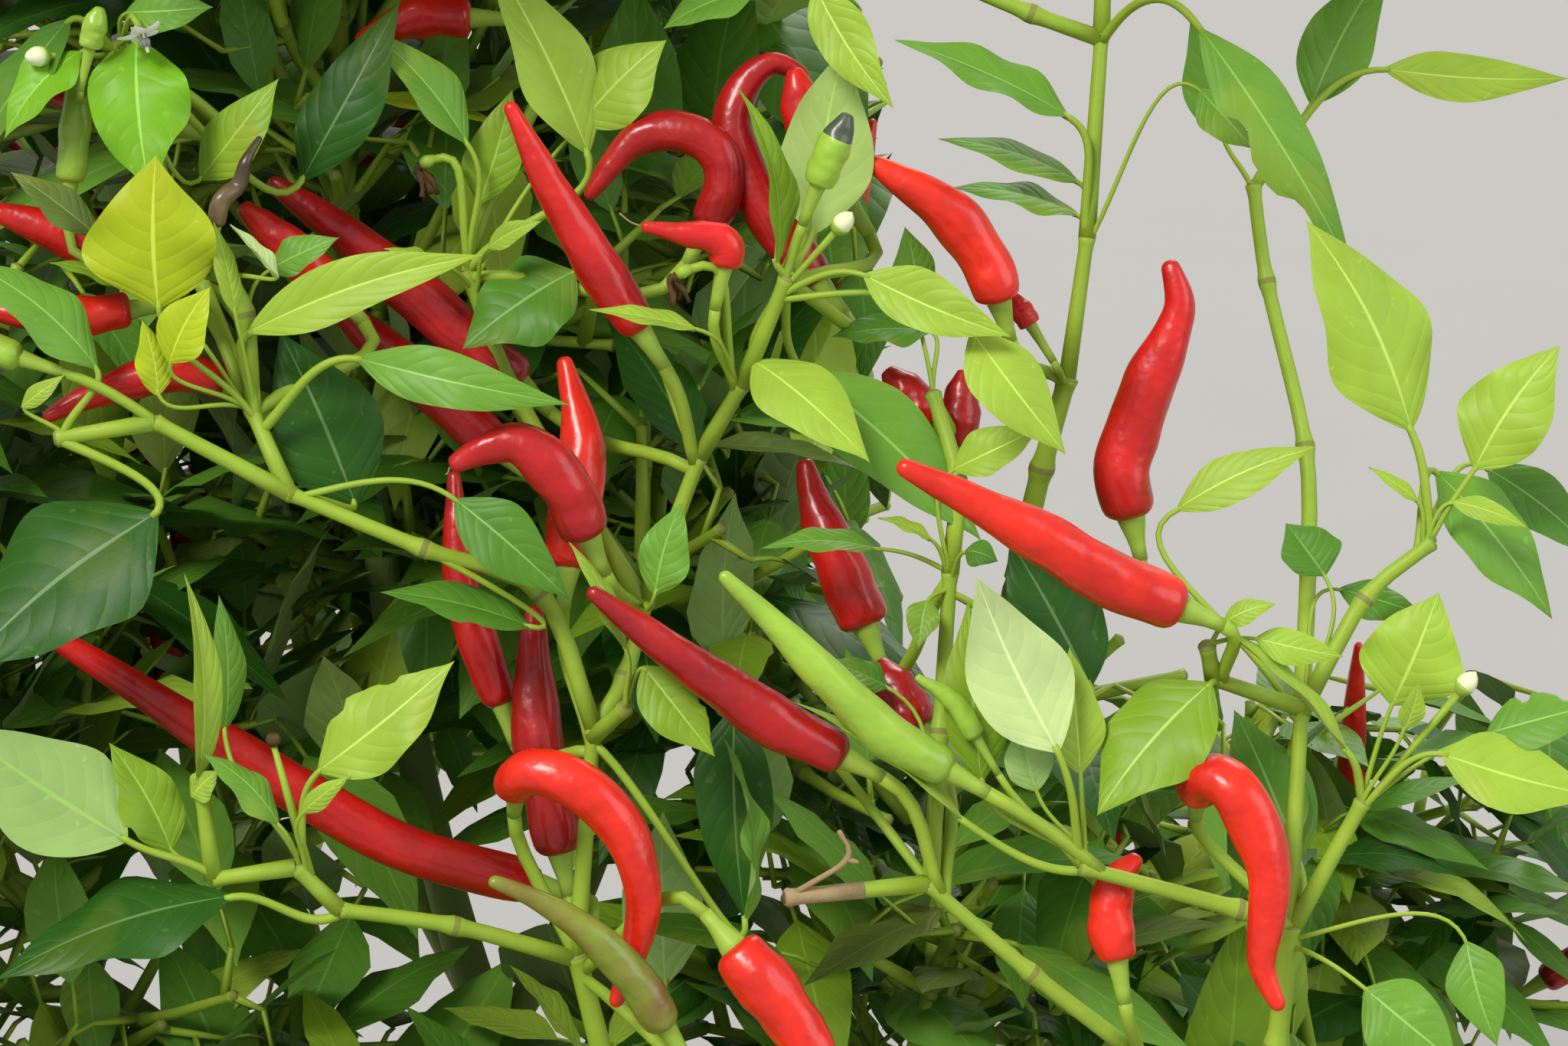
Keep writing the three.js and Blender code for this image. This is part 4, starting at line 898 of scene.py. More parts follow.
def grown_shoot(seed, start, heading, stem_nodes, twigs_per_node):
    """The source's rule: a stem, twigs round each node, and leaves and pods at the twigs' nodes."""
    stem_roll = dice(seed)
    nodes = walk(start, heading, stem_nodes, INTERNODE, stem_roll)
    twigs = []
    turn = stem_roll(0, 2 * math.pi)
    for i in range(1, stem_nodes + 1):
        for k in range(twigs_per_node):
            roll = dice(seed * 64 + i * 8 + k)
            turn += GOLDEN_TURN
            twig_heading = aside(heading_at(nodes, i), turn, roll(0.8, 1.15))
            count = 1 + (1 if roll(0, 1) > 0.5 else 0)
            line = walk(socket(nodes, i, k, TWIG_STEP), twig_heading, count, TWIG_INTERNODE, roll)
            twig = {"at": i, "nodes": line, "leaves": [], "pods": []}
            for j in range(1, count + 1):
                here = heading_at(line, j)
                leaves_here = 3 if j == count else 2
                for m in range(leaves_here):
                    leaf = grown_leaf(socket(line, j, m), here, turn + (j + m) * GOLDEN_TURN, roll)
                    twig["leaves"].append((j, leaf))
                pod = grown_pod(socket(line, j, leaves_here), here, turn + j * GOLDEN_TURN + math.pi, roll)
                if roll(0, 1) < POD_CHANCE:
                    twig["pods"].append((j, pod))
            twigs.append(twig)
    return nodes, twigs


def limb_line(name):
    return limbs[name]["line"]


limbs = {"trunk": {"line": TRUNK_LINE}}
for name, carrier, share, bend, tip, radius, tip_radius in WOOD_PLAN:
    start = bezier(limb_line(carrier), [share])[0]
    limbs[name] = {"line": [start, bend, tip], "radii": (radius, tip_radius)}


def limb_radius(name, share):
    """The source's radius of a limb at a share of its length."""
    if name == "trunk":
        return TRUNK_RADIUS - TRUNK_TAPER * share + FLARE_RADIUS * np.exp(-share / FLARE_SHARE)
    return lerp(*limbs[name]["radii"], share)


def in_background(place):
    """Whether grown shoots may be here: not among the front shoots, not in the open upper right,
    which has a ragged edge, and not along the view's right edge."""
    right, up, near = in_view(place)
    in_frame = abs(right) < VIEW_HALF_WIDTH and abs(up) < VIEW_HALF_HEIGHT
    ragged = 9 * math.sin(place[0] / 9) + 7 * math.sin(place[1] / 7) - 6
    in_open = right > OPEN_RIGHT + ragged * 0.6 and up > OPEN_UP + ragged
    at_edge = in_frame and right > EDGE_RIGHT and near > EDGE_DEPTH
    return not (in_frame and near > FRONT_DEPTH) and not in_open and not at_edge


def is_above(place):
    """Whether a place is above the front view, where the top shoot grows."""
    return in_view(place)[1] > VIEW_HALF_HEIGHT and place[2] < TOP_REACH


def within_reach(place):
    """Whether a place is no further out than the solids."""
    low, high = np.array(cad_box) / MM
    return np.all(place > low + 2) and np.all(place < high - 2)


def space_of(middle, half):
    """A test for whether a place lies in a mass's own round space and within the rule's limits."""
    def belongs(place):
        is_near = np.linalg.norm((place - middle) / half) < 1 and within_reach(place)
        return is_near and place[2] > LOWEST_LEAF and in_background(place)

    return belongs


LIMB_PLACES = np.vstack([bezier(limb["line"], np.linspace(0, 1, 25)) for limb in limbs.values()])
# The middles of all grown leaves so far, by the cell of space they lie in
taken = {}


def cell_of(place):
    return tuple(np.floor(place / LEAF_SPACING).astype(int))


def is_free(place):
    """Whether no other leaf has its middle near a place, and no limb passes there."""
    a, b, c = cell_of(place)
    for x, y, z in product((-1, 0, 1), repeat=3):
        for other in taken.get((a + x, b + y, c + z), ()):
            if np.linalg.norm(other - place) < LEAF_SPACING:
                return False
    return np.min(np.linalg.norm(LIMB_PLACES - place, axis=1)) > LIMB_CLEARANCE


def take(place):
    taken.setdefault(cell_of(place), []).append(place)


def leaf_points(leaf):
    """Points all over a leaf, to tell whether it keeps to its space."""
    along = leaf["tip"] - leaf["base"]
    across = np.cross(along, leaf["facing"])
    across = across / np.linalg.norm(across) * leaf["width"] / 2
    widest = lerp(leaf["base"], leaf["tip"], 0.4)
    upper = lerp(leaf["base"], leaf["tip"], 0.7)
    return [leaf["base"], widest + across, widest - across, upper, leaf["tip"]]


def finer(leaf, rng):
    """The smaller leaves that grow on a finer twig within the reach of one leaf of the rule. A
    leaf's share tells how far along that twig it sits."""
    node, base, tip = leaf["node"], leaf["base"], leaf["tip"]
    length = np.linalg.norm(tip - base)
    outward = unit(base - node)
    along = unit(tip - base)
    size = length * rng.uniform(0.72, 0.95)
    sprig = [{"node": base - outward * 6, "base": base, "tip": base + along * size, "share": 0.97,
              "width": size * LEAF_PROPORTION * rng.uniform(0.85, 1.1), "facing": leaf["facing"]}]
    turn = rng.uniform(0, 6.28)
    for share in (0.35, 0.62, 0.85):
        turn += GOLDEN_TURN
        joint = lerp(node, base, share)
        side = aside(outward, turn, rng.uniform(0.75, 1.15))
        small = length * rng.uniform(0.40, 0.75)
        start = joint + side * small * rng.uniform(0.22, 0.34)
        heading = unit(side + UP * rng.uniform(-0.6, 0.25))
        facing = UP + side * rng.uniform(0.2, 0.7)
        sprig.append({"node": joint, "base": start, "tip": start + heading * small, "share": share + 0.01,
                      "width": small * LEAF_PROPORTION * rng.uniform(0.8, 1.1), "facing": facing})
    return sprig


def kept_part(nodes, belongs):
    """As much of a line of nodes as lies inside a space."""
    outside = next((i for i, node in enumerate(nodes) if i > 0 and not belongs(node)), len(nodes))
    return nodes[:outside]


def middle_of(leaf):
    return lerp(leaf["base"], leaf["tip"], 0.5)


def spray_leaves(twig, line, belongs, heaps, pick, rng):
    """The leaves of one twig, on finer twigs of their own, where there is room. Most take the
    spray's tint. Returns how many."""
    spray_tint = pick()
    count = 0
    for j, leaf in twig["leaves"]:
        if j >= len(line):
            continue
        own = [small for small in finer(leaf, rng) if all(map(belongs, leaf_points(small)))]
        own = [small for small in own if is_free(middle_of(small))]
        if not own:
            continue
        last = max(small["share"] for small in own)
        stem(heaps.twigs, [leaf["node"], lerp(leaf["node"], leaf["base"], last)], SPRIG_RADIUS, 0.8,
             sides=4, swollen=False)
        for small in own:
            take(middle_of(small))
            base, tip = small["base"], small["tip"]
            along = unit(tip - base)
            stalk(heaps.twigs, small["node"], base + along * 2, along, 0.7, 0.5, 0.06, sides=3, steps=3)
            tint = spray_tint if rng.random() < 0.7 else pick()
            heaps.plain.append(make_leaf(base, tip, small["width"], small["facing"], tint, rng))
            count += 1
    return count


def may_fruit(place):
    """Grown pods stay out of the front view's near background, where no such pods show."""
    right, up, near = in_view(place)
    in_frame = abs(right) < VIEW_HALF_WIDTH + 10 and abs(up) < VIEW_HALF_HEIGHT
    return not in_frame or near < POD_DEPTH


def grown_pods(twig, line, belongs, heaps, rng):
    """The pods of one twig, some with a flower beside them. Returns how many."""
    count = 0
    for j, pod in twig["pods"]:
        ends = [pod["way"][0], pod["way"][-1]]
        if j >= len(line) or not all(belongs(place) and may_fruit(place) for place in ends):
            continue
        pod["colour"] = rng.choice(list(POD_SHARES), p=list(POD_SHARES.values()))
        pod["blunt"] = rng.uniform(1.9, 2.8)
        pod_body(heaps, pod, PLAIN_POD, rng.uniform(0, 6.28))
        if rng.random() < 0.35:
            flower(heaps, lerp(pod["node"], pod["way"][0], 0.2), rng)
        count += 1
    return count


def dress_twigs(heaps, twigs, belongs, rng):
    """The twigs of a grown shoot with their leaves and pods, as far as they keep to their space.
    Returns the number of the shoot's last node that bears any."""
    weights = np.array([TINT_SHARES.get(name, 0) for name in TINT_NAMES])
    last = 0

    def pick():
        return TINT_NAMES[rng.choice(len(TINT_NAMES), p=weights / weights.sum())]

    for twig in twigs:
        line = kept_part(twig["nodes"], belongs)
        if len(line) < 2:
            continue
        leaf_count = spray_leaves(twig, line, belongs, heaps, pick, rng)
        if leaf_count + grown_pods(twig, line, belongs, heaps, rng):
            stem(heaps.twigs, line, TWIG_RADIUS, SPRIG_RADIUS, sides=6, end=0.3)
            last = max(last, twig["at"])
    return last


def towards(goal, root, seed, twigs_per_node):
    """A shoot that grows from a root towards a goal."""
    heading = goal - root
    stem_nodes = int(np.clip(round(np.linalg.norm(heading) / INTERNODE), 1, 4))
    return grown_shoot(seed, root, heading, stem_nodes, twigs_per_node)


def goals_round(middle, half, count):
    """Places that lie evenly all round the middle of a space."""
    for k in range(count):
        level = 1 - 2 * (k + 0.5) / count
        ring = math.sqrt(1 - level * level)
        turn = k * GOLDEN_TURN
        yield middle + np.array([ring * math.cos(turn), ring * math.sin(turn), level]) * half * BRANCH_REACH


def dress_branch(heaps, goal, root, seed, twigs_per_node, belongs, thick, number):
    """A branch towards a goal, as far as it bears leaves. Returns its nodes after the root."""
    line, twigs = towards(goal, root, seed, twigs_per_node)
    kept = kept_part(line, belongs)
    twigs = [twig for twig in twigs if twig["at"] < len(kept)]
    last = dress_twigs(heaps, twigs, belongs, np.random.default_rng(seed + BRANCH_SEED_STEP * number))
    if last == 0:
        return []
    stem(heaps.twigs, kept[:last + 1], thick, SPRIG_RADIUS, end=0.3)
    return kept[1:last + 1]


def dress_mass(heaps, seed, start, heading, stem_nodes, twigs_per_node, middle, half):
    """A mass: its first shoot, the source's branches, and finer shoots that fill what they leave.
    The first stem ends at its last node that bears something."""
    belongs = space_of(middle, half)
    nodes, twigs = grown_shoot(seed, start, heading, stem_nodes, twigs_per_node)
    last = dress_twigs(heaps, twigs, belongs, np.random.default_rng(seed))
    places = list(range(1, len(nodes)))
    roots = {i: nodes[i] for i in places}
    goals = [(goal, seed + GOAL_SEED_STEP * (k + 1), BRANCH_TWIGS, TWIG_RADIUS * 1.15, k)
             for k, goal in enumerate(goals_round(middle, half, BRANCHES))]
    goals += [(goal, seed + FILLER_SEED + GOAL_SEED_STEP * k, FILLER_TWIGS, TWIG_RADIUS, k)
              for k, goal in enumerate(goals_round(middle, half, FILLERS))]
    for number, (goal, own_seed, own_twigs, thick, k) in enumerate(goals):
        choice = places if number < BRANCHES else list(roots)
        root = min(choice, key=lambda i: np.linalg.norm(roots[i] - goal))
        grown = dress_branch(heaps, goal, roots[root], own_seed, own_twigs, belongs, thick, k)
        if not grown:
            continue
        if root in places:
            last = max(last, root)
        if number < BRANCHES:
            roots.update({len(roots) + 1 + i: node for i, node in enumerate(grown)})
    stem(heaps.twigs, nodes[:last + 1], STEM_RADIUS, TWIG_RADIUS, end=0.3)


def flower(heaps, node, rng):
    """A small white flower or a bud on its own stalk."""
    lean = unit(np.array([rng.uniform(-1, 1), rng.uniform(-1, 1), rng.uniform(0.2, 1.0)]))
    place = node + lean * rng.uniform(10, 15)
    if rng.random() < 0.5:
        bud(heaps, node, place)
    else:
        bloom(heaps, node, place, unit(lean + UP * -0.8 + TO_VIEWER * 0.3), rng.uniform(0, 6))


def bud(heaps, node, place, size=1.0):
    """A closed bud: a pale oval over a green cup."""
    direction = unit(place - node)
    stalk(heaps.twigs, node, place, direction, 0.55, 0.75, 0.02, steps=5)
    shares = np.linspace(0, 1, 8)
    line = place + direction * (shares * 6.4 * size)[:, None]
    radii = 2.3 * size * np.sin(np.clip(shares * 0.9 + 0.1, 0, 1) * math.pi) ** 0.7 + 0.1
    tube(heaps.blossom, line, radii, 10, "bud")
    cup = place + direction * (np.linspace(-0.4, 2.2, 4) * size)[:, None]
    tube(heaps.twigs, cup, np.array([0.8, 1.7, 2.25, 2.5]) * size, 10, "calyx")


def petal(heap, place, facing, out, size):
    """A petal that reaches outward and curls back, as a thin closed sheet of 5 by 5 points a side."""
    side = np.cross(facing, out)
    points, faces = [], []
    for layer in (0.16, -0.16):
        for t in np.linspace(0, 1, 5):
            wide = 2.4 * size * math.sin(min(t + 0.16, 1) * math.pi * 0.92) ** 0.8
            for s in np.linspace(-1, 1, 5):
                lift = 1.6 * t - 2.2 * t * t - 0.4 * s * s + layer * (1 - s * s) * (1 - t)
                points.append(place + out * (0.6 + 6.6 * t) * size + side * wide * s + facing * lift * size)
    for i in range(4):
        for a in range(i * 5, i * 5 + 4):
            faces.append((a, a + 5, a + 6, a + 1))
            faces.append((a + 25, a + 26, a + 31, a + 30))
    heap.add(points, [], 0, faces, heap.looks.index("petal"))


def bloom(heaps, node, place, facing, turn, size=1.0):
    """An open flower: five white petals round dark anthers."""
    stalk(heaps.twigs, node, place - facing * 1.5, facing, 0.5, 0.7, 0.1, sides=5, steps=5)
    first = square_to(facing)
    second = np.cross(facing, first)
    for k in range(5):
        angle = turn + k * 2 * math.pi / 5
        out = first * math.cos(angle) + second * math.sin(angle)
        petal(heaps.blossom, place, facing, out, size)
        tip = place + (facing * 2.4 + out * 1.0) * size
        filament = [place + out * 0.8, lerp(place, tip, 0.6), tip, tip + facing * 1.1]
        tube(heaps.blossom, filament, [0.25, 0.3, 0.6, 0.3], 6, "anther")
    tube(heaps.blossom, [place, place + facing * 2, place + facing * 3.6], [0.9, 0.4, 0.35], 6, "bud")


def withered(heaps, node, place, rng):
    """A spent flower that hangs brown from its calyx, with five shrivelled petals."""
    direction = unit(unit(place - node) * 0.3 - VIEW_RIGHT * 0.7 - UP * 0.6)
    stalk(heaps.twigs, node, place, direction, 0.8, 0.9, 0.35, sides=8, steps=9)
    head = place + direction * 0.6
    tube(heaps.twigs, [place - direction, head, head + direction * 1.2], [0.9, 1.35, 1.0], 8, "calyx")
    for k in range(5):
        bend = unit(-UP + np.array([rng.uniform(-0.5, 0.5), rng.uniform(-0.5, 0.5), 0]))
        start = head + direction * 1.2 + np.array([rng.uniform(-0.8, 0.8), rng.uniform(-0.8, 0.8), 0])
        line = [start, start + direction * 0.8 + bend * 1.2, start + bend * 3.6, start + bend * 6.2]
        tube(heaps.blossom, rounded(line, 2), 0.55 + 0.2 * np.sin(np.arange(7) * 1.9 + k), 5, "withered")


def dead_end(heap, node, place):
    """A dead, forked end of a twig."""
    kink = lerp(node, place, 0.68) + VIEW_RIGHT * 4.5 - UP * 1.5
    stem(heap, [node, kink, place], 0.65, 0.4, look="dry")
    stem(heap, [kink, kink + VIEW_RIGHT * 2.2 - UP * 0.6], 0.5, 0.3, look="dry")


def stub(heaps, node, place):
    """A bare stalk with the brown remains of a flower on it."""
    stem(heaps.twigs, [node, place], 0.9, 0.8, swollen=False)
    tube(heaps.blossom, [place, place + UP * 1.1, place + UP * 2.1], [0.9, 1.5, 1.0], 9, "withered")


def front_leaf(heaps, node, base, tip, width, turn, tint, more, rng):
    """A leaf of a front shoot. Unturned, it faces upwards and the viewer."""
    along = unit(tip - base)
    facing = TO_VIEWER + UP
    facing = unit(facing - along * (facing @ along))
    angle = math.radians(turn)
    facing = facing * math.cos(angle) + np.cross(along, facing) * math.sin(angle)
    radius = PETIOLE_RADIUS * min(1.2, max(0.6, np.linalg.norm(tip - base) / 34))
    lift = more.pop("lift", 0.10 if np.linalg.norm(base - node) > 8 else 0.02)
    stalk(heaps.twigs, node, base + along * 1.5, along, radius * 1.15, radius * 0.8, lift, sides=8,
          steps=16)
    heaps.fine.append(make_leaf(base, tip, width, facing, tint, rng, **more))


def front_extra(heaps, kind, node, place, rng):
    """A bud, a flower or what is left of one, or a dead end."""
    if kind == "bud":
        bud(heaps, node, place, 0.78)
    elif kind == "flower":
        bloom(heaps, node, place, unit(TO_VIEWER * 0.5 + VIEW_RIGHT * 0.35 - UP), 0.4, 0.62)
    elif kind == "withered":
        withered(heaps, node, place, rng)
    elif kind == "stub":
        stub(heaps, node, place)
    else:
        dead_end(heaps.twigs, node, place)


def dress_front(heaps, shoot, seed):
    """One front shoot. Returns the line of each of its stems."""
    rng = np.random.default_rng(seed)
    root = bezier(limb_line(shoot["carrier"]), [1])[0]
    lines, used = {}, {}

    def root_of(name):
        """Where the next stem, leaf or pod leaves a node. They leave it one below another."""
        if name == "root":
            return root
        used[name] = used.get(name, -1) + 1
        return socket(lines[name], len(lines[name]) - 1, used[name] % 6, NODE_STEP)

    for source, name, *points in shoot["stems"]:
        line = [root_of(source), *map(seen, points)]
        lines[name] = line
        thick = STEM_RADIUS if source == "root" else TWIG_RADIUS
        stem(heaps.twigs, line, thick, thick * 0.78, sides=12)
        if name == "dry":
            stem(heaps.twigs, [lerp(line[0], line[-1], 0.45), line[-1]], TWIG_RADIUS * 0.95,
                 TWIG_RADIUS * 0.84, sides=12, look="dry")
    for source, base, tip, width, turn, tint, *more in shoot["leaves"]:
        front_leaf(heaps, root_of(source), seen(base), seen(tip), width, turn, tint, dict(*more), rng)
    for source, girth, colour, blunt, *way in shoot["pods"]:
        more = way.pop() if isinstance(way[-1], dict) else {}
        pod = {"node": root_of(source), "way": [seen(point) for point in way], "girth": girth,
               "colour": colour, "blunt": blunt, **more}
        pod_body(heaps, pod, FINE_POD, rng.uniform(0, 6.28))
    for source, point, kind in shoot["buds"]:
        front_extra(heaps, kind, root_of(source), seen(point), rng)
    return lines


def new_heaps():
    """The shapes of one group. Its leaves wait in two lists, fine and plain, and blossom is shared."""
    return SimpleNamespace(twigs=Heap(STEM_LOOKS), leaves=Heap(), pods=Heap(POD_NAMES), blossom=blossom,
                           fine=[], plain=[])


blossom = Heap(BLOSSOM_LOOKS)
groups = {name: new_heaps() for name in GROUPS}
group_of = {mass: name for name, masses in GROUPS.items() for mass in masses}

for number, shoot in enumerate(FRONT_SHOOTS):
    lines = dress_front(groups["front"], shoot, FRONT_SEED + number)
top_nodes, top_twigs = grown_shoot(TOP_SEED, lines["top"][-1], TOP_HEADING, TOP_STEM_NODES, TOP_TWIGS)
stem(groups["front"].twigs, top_nodes, STEM_RADIUS, TWIG_RADIUS)
dress_twigs(groups["front"], top_twigs, is_above, np.random.default_rng(TOP_SEED))
for number, (mass, carrier, middle, half, stem_nodes, twigs_per_node) in enumerate(GROWN_PLAN):
    middle, half = np.array(middle, float), np.array(half, float)
    _, bend, start = np.array(limb_line(carrier), float)
    heading = unit(middle - start) + unit(start - bend)
    seed = GROWN_SEED + GROWN_SEED_STEP * number
    dress_mass(groups[group_of[mass]], seed, start, heading, stem_nodes, twigs_per_node, middle, half)


class Nodes:
    """A material's node tree, and short ways to add to it."""

    def __init__(self, name):
        self.material = bpy.data.materials.new(name)
        self.material.use_nodes = True
        self.tree = self.material.node_tree
        self.tree.nodes.clear()
        self.coords = self.add("ShaderNodeTexCoord", {})

    def fill(self, target, value):
        """An input takes another node's output, a colour or a number."""
        if isinstance(value, bpy.types.NodeSocket):
            self.tree.links.new(value, target)
        elif target.type == "RGBA":
            target.default_value = (*value, 1)
        else:
            target.default_value = value

    def add(self, kind, inputs, **settings):
        """A node with its settings, and its inputs by name or number."""
        node = self.tree.nodes.new(kind)
        for key, value in settings.items():
            setattr(node, key, value)
        for key, value in inputs.items():
            self.fill(node.inputs[key], value)
        return node

    def parts(self, kind):
        """The x, y and z of one kind of coordinates."""
        return self.add("ShaderNodeSeparateXYZ", {0: self.coords.outputs[kind]}).outputs

    def math(self, operation, *values):
        return self.add("ShaderNodeMath", dict(enumerate(values)), operation=operation).outputs[0]

    def plus(self, a, b):
        return self.math("ADD", a, b)

    def minus(self, a, b):
        return self.math("SUBTRACT", a, b)

    def times(self, a, b):
        return self.math("MULTIPLY", a, b)

    def power(self, a, b):
        return self.math("POWER", a, b)

    def clamp(self, value, top):
        """A value kept between 0 and a top."""
        return self.add("ShaderNodeClamp", {"Value": value, "Max": top}).outputs[0]

    def patches(self, value, level, steepness, top):
        """0 where a value is under a level, and then a quick rise to a top."""
        return self.clamp(self.times(self.minus(value, level), steepness), top)

    def noise(self, scale, detail=2.0, roughness=0.5, coordinates=None):
        inputs = {"Vector": coordinates or self.coords.outputs["Object"], "Scale": scale,
                  "Detail": detail, "Roughness": roughness}
        return self.add("ShaderNodeTexNoise", inputs).outputs["Fac"]

    def mix(self, share, first, second):
        """A colour between two. In a node that mixes colours they are inputs 6 and 7, output 2."""
        return self.add("ShaderNodeMix", {0: share, 6: first, 7: second}, data_type="RGBA").outputs[2]

    def surface(self, colour, roughness, height, strength, distance, glow=0, **settings):
        """The finished material. height is its relief, and glow how much light comes through."""
        bump = self.add("ShaderNodeBump", {"Height": height, "Strength": strength, "Distance": distance})
        inputs = {"Base Color": colour, "Roughness": roughness, "Normal": bump.outputs[0]}
        inputs.update({key.replace("_", " "): value for key, value in settings.items()})
        face = self.add("ShaderNodeBsdfPrincipled", inputs)
        if glow:
            through = self.add("ShaderNodeBsdfTranslucent", {"Color": colour})
            face = self.add("ShaderNodeMixShader", {0: glow, 1: face.outputs[0], 2: through.outputs[0]})
        self.add("ShaderNodeOutputMaterial", {"Surface": face.outputs[0]})
        return self.material


def shade(colour, factor, towards=(1.0, 1.0, 1.0), share=0.0):
    """A colour made lighter or darker by a factor, then moved by a share towards another."""
    return tuple(min(1.0, (c * factor) * (1 - share) + t * share) for c, t in zip(colour, towards))


def leaf_material(name, colour, rough, coat, age):
    """A blade's side: side veins that curve to the margin, quilted between, and soft light through.
    age is how far its old patches turn yellow."""
    nodes = Nodes(name)
    across, along, _ = nodes.parts("UV")
    offset = nodes.times(nodes.math("ABSOLUTE", nodes.minus(across, 0.5)), 2.0)
    sweep = nodes.times(nodes.power(offset, 1.5), 0.24)
    half_step = nodes.times(nodes.math("GREATER_THAN", across, 0.5), 0.5)
    place = nodes.plus(nodes.times(nodes.minus(along, sweep), SIDE_VEINS), half_step)
    ridge = nodes.times(nodes.math("ABSOLUTE", nodes.minus(nodes.math("FRACT", place), 0.5)), 2.0)
    side_vein, quilt = nodes.power(ridge, 14.0), nodes.power(ridge, 2.5)
    midrib = nodes.math("LESS_THAN", offset, 0.035)
    veins = nodes.math("MAXIMUM", nodes.times(side_vein, 0.22), nodes.times(midrib, 0.8))
    fresh = nodes.mix(nodes.noise(85.0, 3.0), shade(colour, 0.76), shade(colour, 1.2))
    aged = nodes.patches(nodes.noise(34.0), 0.60, 5.0, age)
    yellowed = nodes.mix(aged, fresh, shade(colour, 0.95, (0.60, 0.52, 0.05), 0.42))
    spots = nodes.patches(nodes.noise(430.0, 2.0, 0.4), 0.70, 12.0, 0.5)
    pale = shade(colour, 1.3, (0.5, 0.62, 0.25), 0.14)
    veined = nodes.mix(nodes.math("MAXIMUM", veins, spots), yellowed, pale)
    height = nodes.plus(nodes.times(quilt, -0.5), nodes.times(nodes.noise(900.0, 3.0, 0.6), 0.22))
    return nodes.surface(veined, rough, height, 0.4, 0.0005, glow=LEAF_GLOW, Specular_IOR_Level=0.24,
                         Coat_Weight=coat, Coat_Roughness=0.32)


def rib_material(name, colour):
    """A midrib, a little paler than its blade, with fine streaks."""
    nodes = Nodes(name)
    streaks = nodes.noise(400.0)
    base = nodes.mix(streaks, shade(colour, 1.06, (0.55, 0.66, 0.34), 0.08),
                     shade(colour, 1.12, (0.6, 0.7, 0.4), 0.14))
    return nodes.surface(base, 0.45, streaks, 0.2, 0.0003, Specular_IOR_Level=0.4)


def pod_material(name, colour, other):
    """Glossy skin with shallow dents and a little uneven colour."""
    nodes = Nodes(name)
    blotch = nodes.noise(70.0, 3.0, 0.55)
    base = nodes.mix(nodes.patches(blotch, 0.32, 2.6, 1.0), other, colour)
    height = nodes.plus(nodes.noise(190.0), nodes.times(nodes.noise(1500.0), 0.05))
    rough = nodes.plus(nodes.times(blotch, 0.18), 0.25)
    return nodes.surface(base, rough, height, 0.5, 0.0015, Specular_IOR_Level=0.38, Coat_Weight=0.28,
                         Coat_Roughness=0.12)


def stem_material(name, colour, other, rough, relief):
    """Skin or dry wood of a stem, blotched with a second colour."""
    nodes = Nodes(name)
    blotch = nodes.noise(130.0, 4.0, 0.6)
    height = nodes.plus(nodes.times(blotch, 0.6), nodes.times(nodes.noise(1100.0, 3.0, 0.6), 0.4))
    return nodes.surface(nodes.mix(blotch, colour, other), rough, height, relief, 0.0006,
                         Specular_IOR_Level=0.32)


def bark_material():
    """Grey-brown and cracked at the foot, turning to green higher up."""
    nodes = Nodes("bark")
    blotch = nodes.noise(55.0, 5.0, 0.62)
    stretch = {"Vector": nodes.coords.outputs["Object"], "Scale": (1.0, 1.0, 0.14)}
    drawn_out = nodes.add("ShaderNodeMapping", stretch).outputs[0]
    cracks = nodes.noise(620.0, 5.0, 0.65, drawn_out)
    woody = nodes.mix(blotch, (0.10, 0.072, 0.048), (0.30, 0.25, 0.18))
    cracked = nodes.mix(nodes.power(cracks, 3.0), woody, (0.42, 0.37, 0.29))
    green = nodes.mix(blotch, (0.13, 0.19, 0.045), (0.24, 0.33, 0.08))
    above_turn = nodes.times(nodes.minus(nodes.parts("Object")[2], BARK_TURN_HEIGHT), 9.0)
    uneven = nodes.plus(above_turn, nodes.times(nodes.minus(blotch, 0.5), 1.6))
    base = nodes.mix(nodes.clamp(uneven, 1.0), cracked, green)
    height = nodes.plus(nodes.times(cracks, 0.8), nodes.times(nodes.noise(1600.0, 4.0, 0.6), 0.25))
    return nodes.surface(base, 0.82, height, 0.7, 0.0012, Specular_IOR_Level=0.3)


def plain_material(name, colour, other, rough, scale, **settings):
    """A surface with two colours in patches, of a size that falls as the scale rises."""
    nodes = Nodes(name)
    blotch = nodes.noise(scale, 4.0, 0.6)
    return nodes.surface(nodes.mix(blotch, colour, other), rough, blotch, 0.25, 0.0004, **settings)


leaf_looks = []
for tint_name, tint in TINTS.items():
    age = 0.14 if tint_name == "deep" else 0.34
    under = shade(tint, 1.10, (0.56, 0.70, 0.32), 0.42)
    leaf_looks.append(leaf_material(f"leaf_{tint_name}_upper", tint, 0.42, 0.04, age))
    leaf_looks.append(leaf_material(f"leaf_{tint_name}_under", under, 0.60, 0.0, age))
    leaf_looks.append(rib_material(f"leaf_{tint_name}_rib", tint))
pod_looks = [pod_material(f"pod_{name}", *colours) for name, colours in POD_COLOURS.items()]
stem_looks = [
    stem_material("stem_green", (0.19, 0.33, 0.024), (0.33, 0.46, 0.038), 0.48, 0.3),
    stem_material("stem_node", (0.21, 0.31, 0.030), (0.19, 0.16, 0.06), 0.55, 0.5),
    stem_material("stem_dry", (0.23, 0.16, 0.07), (0.40, 0.31, 0.16), 0.8, 0.7),
    stem_material("calyx", (0.22, 0.38, 0.035), (0.34, 0.48, 0.06), 0.45, 0.3),
]
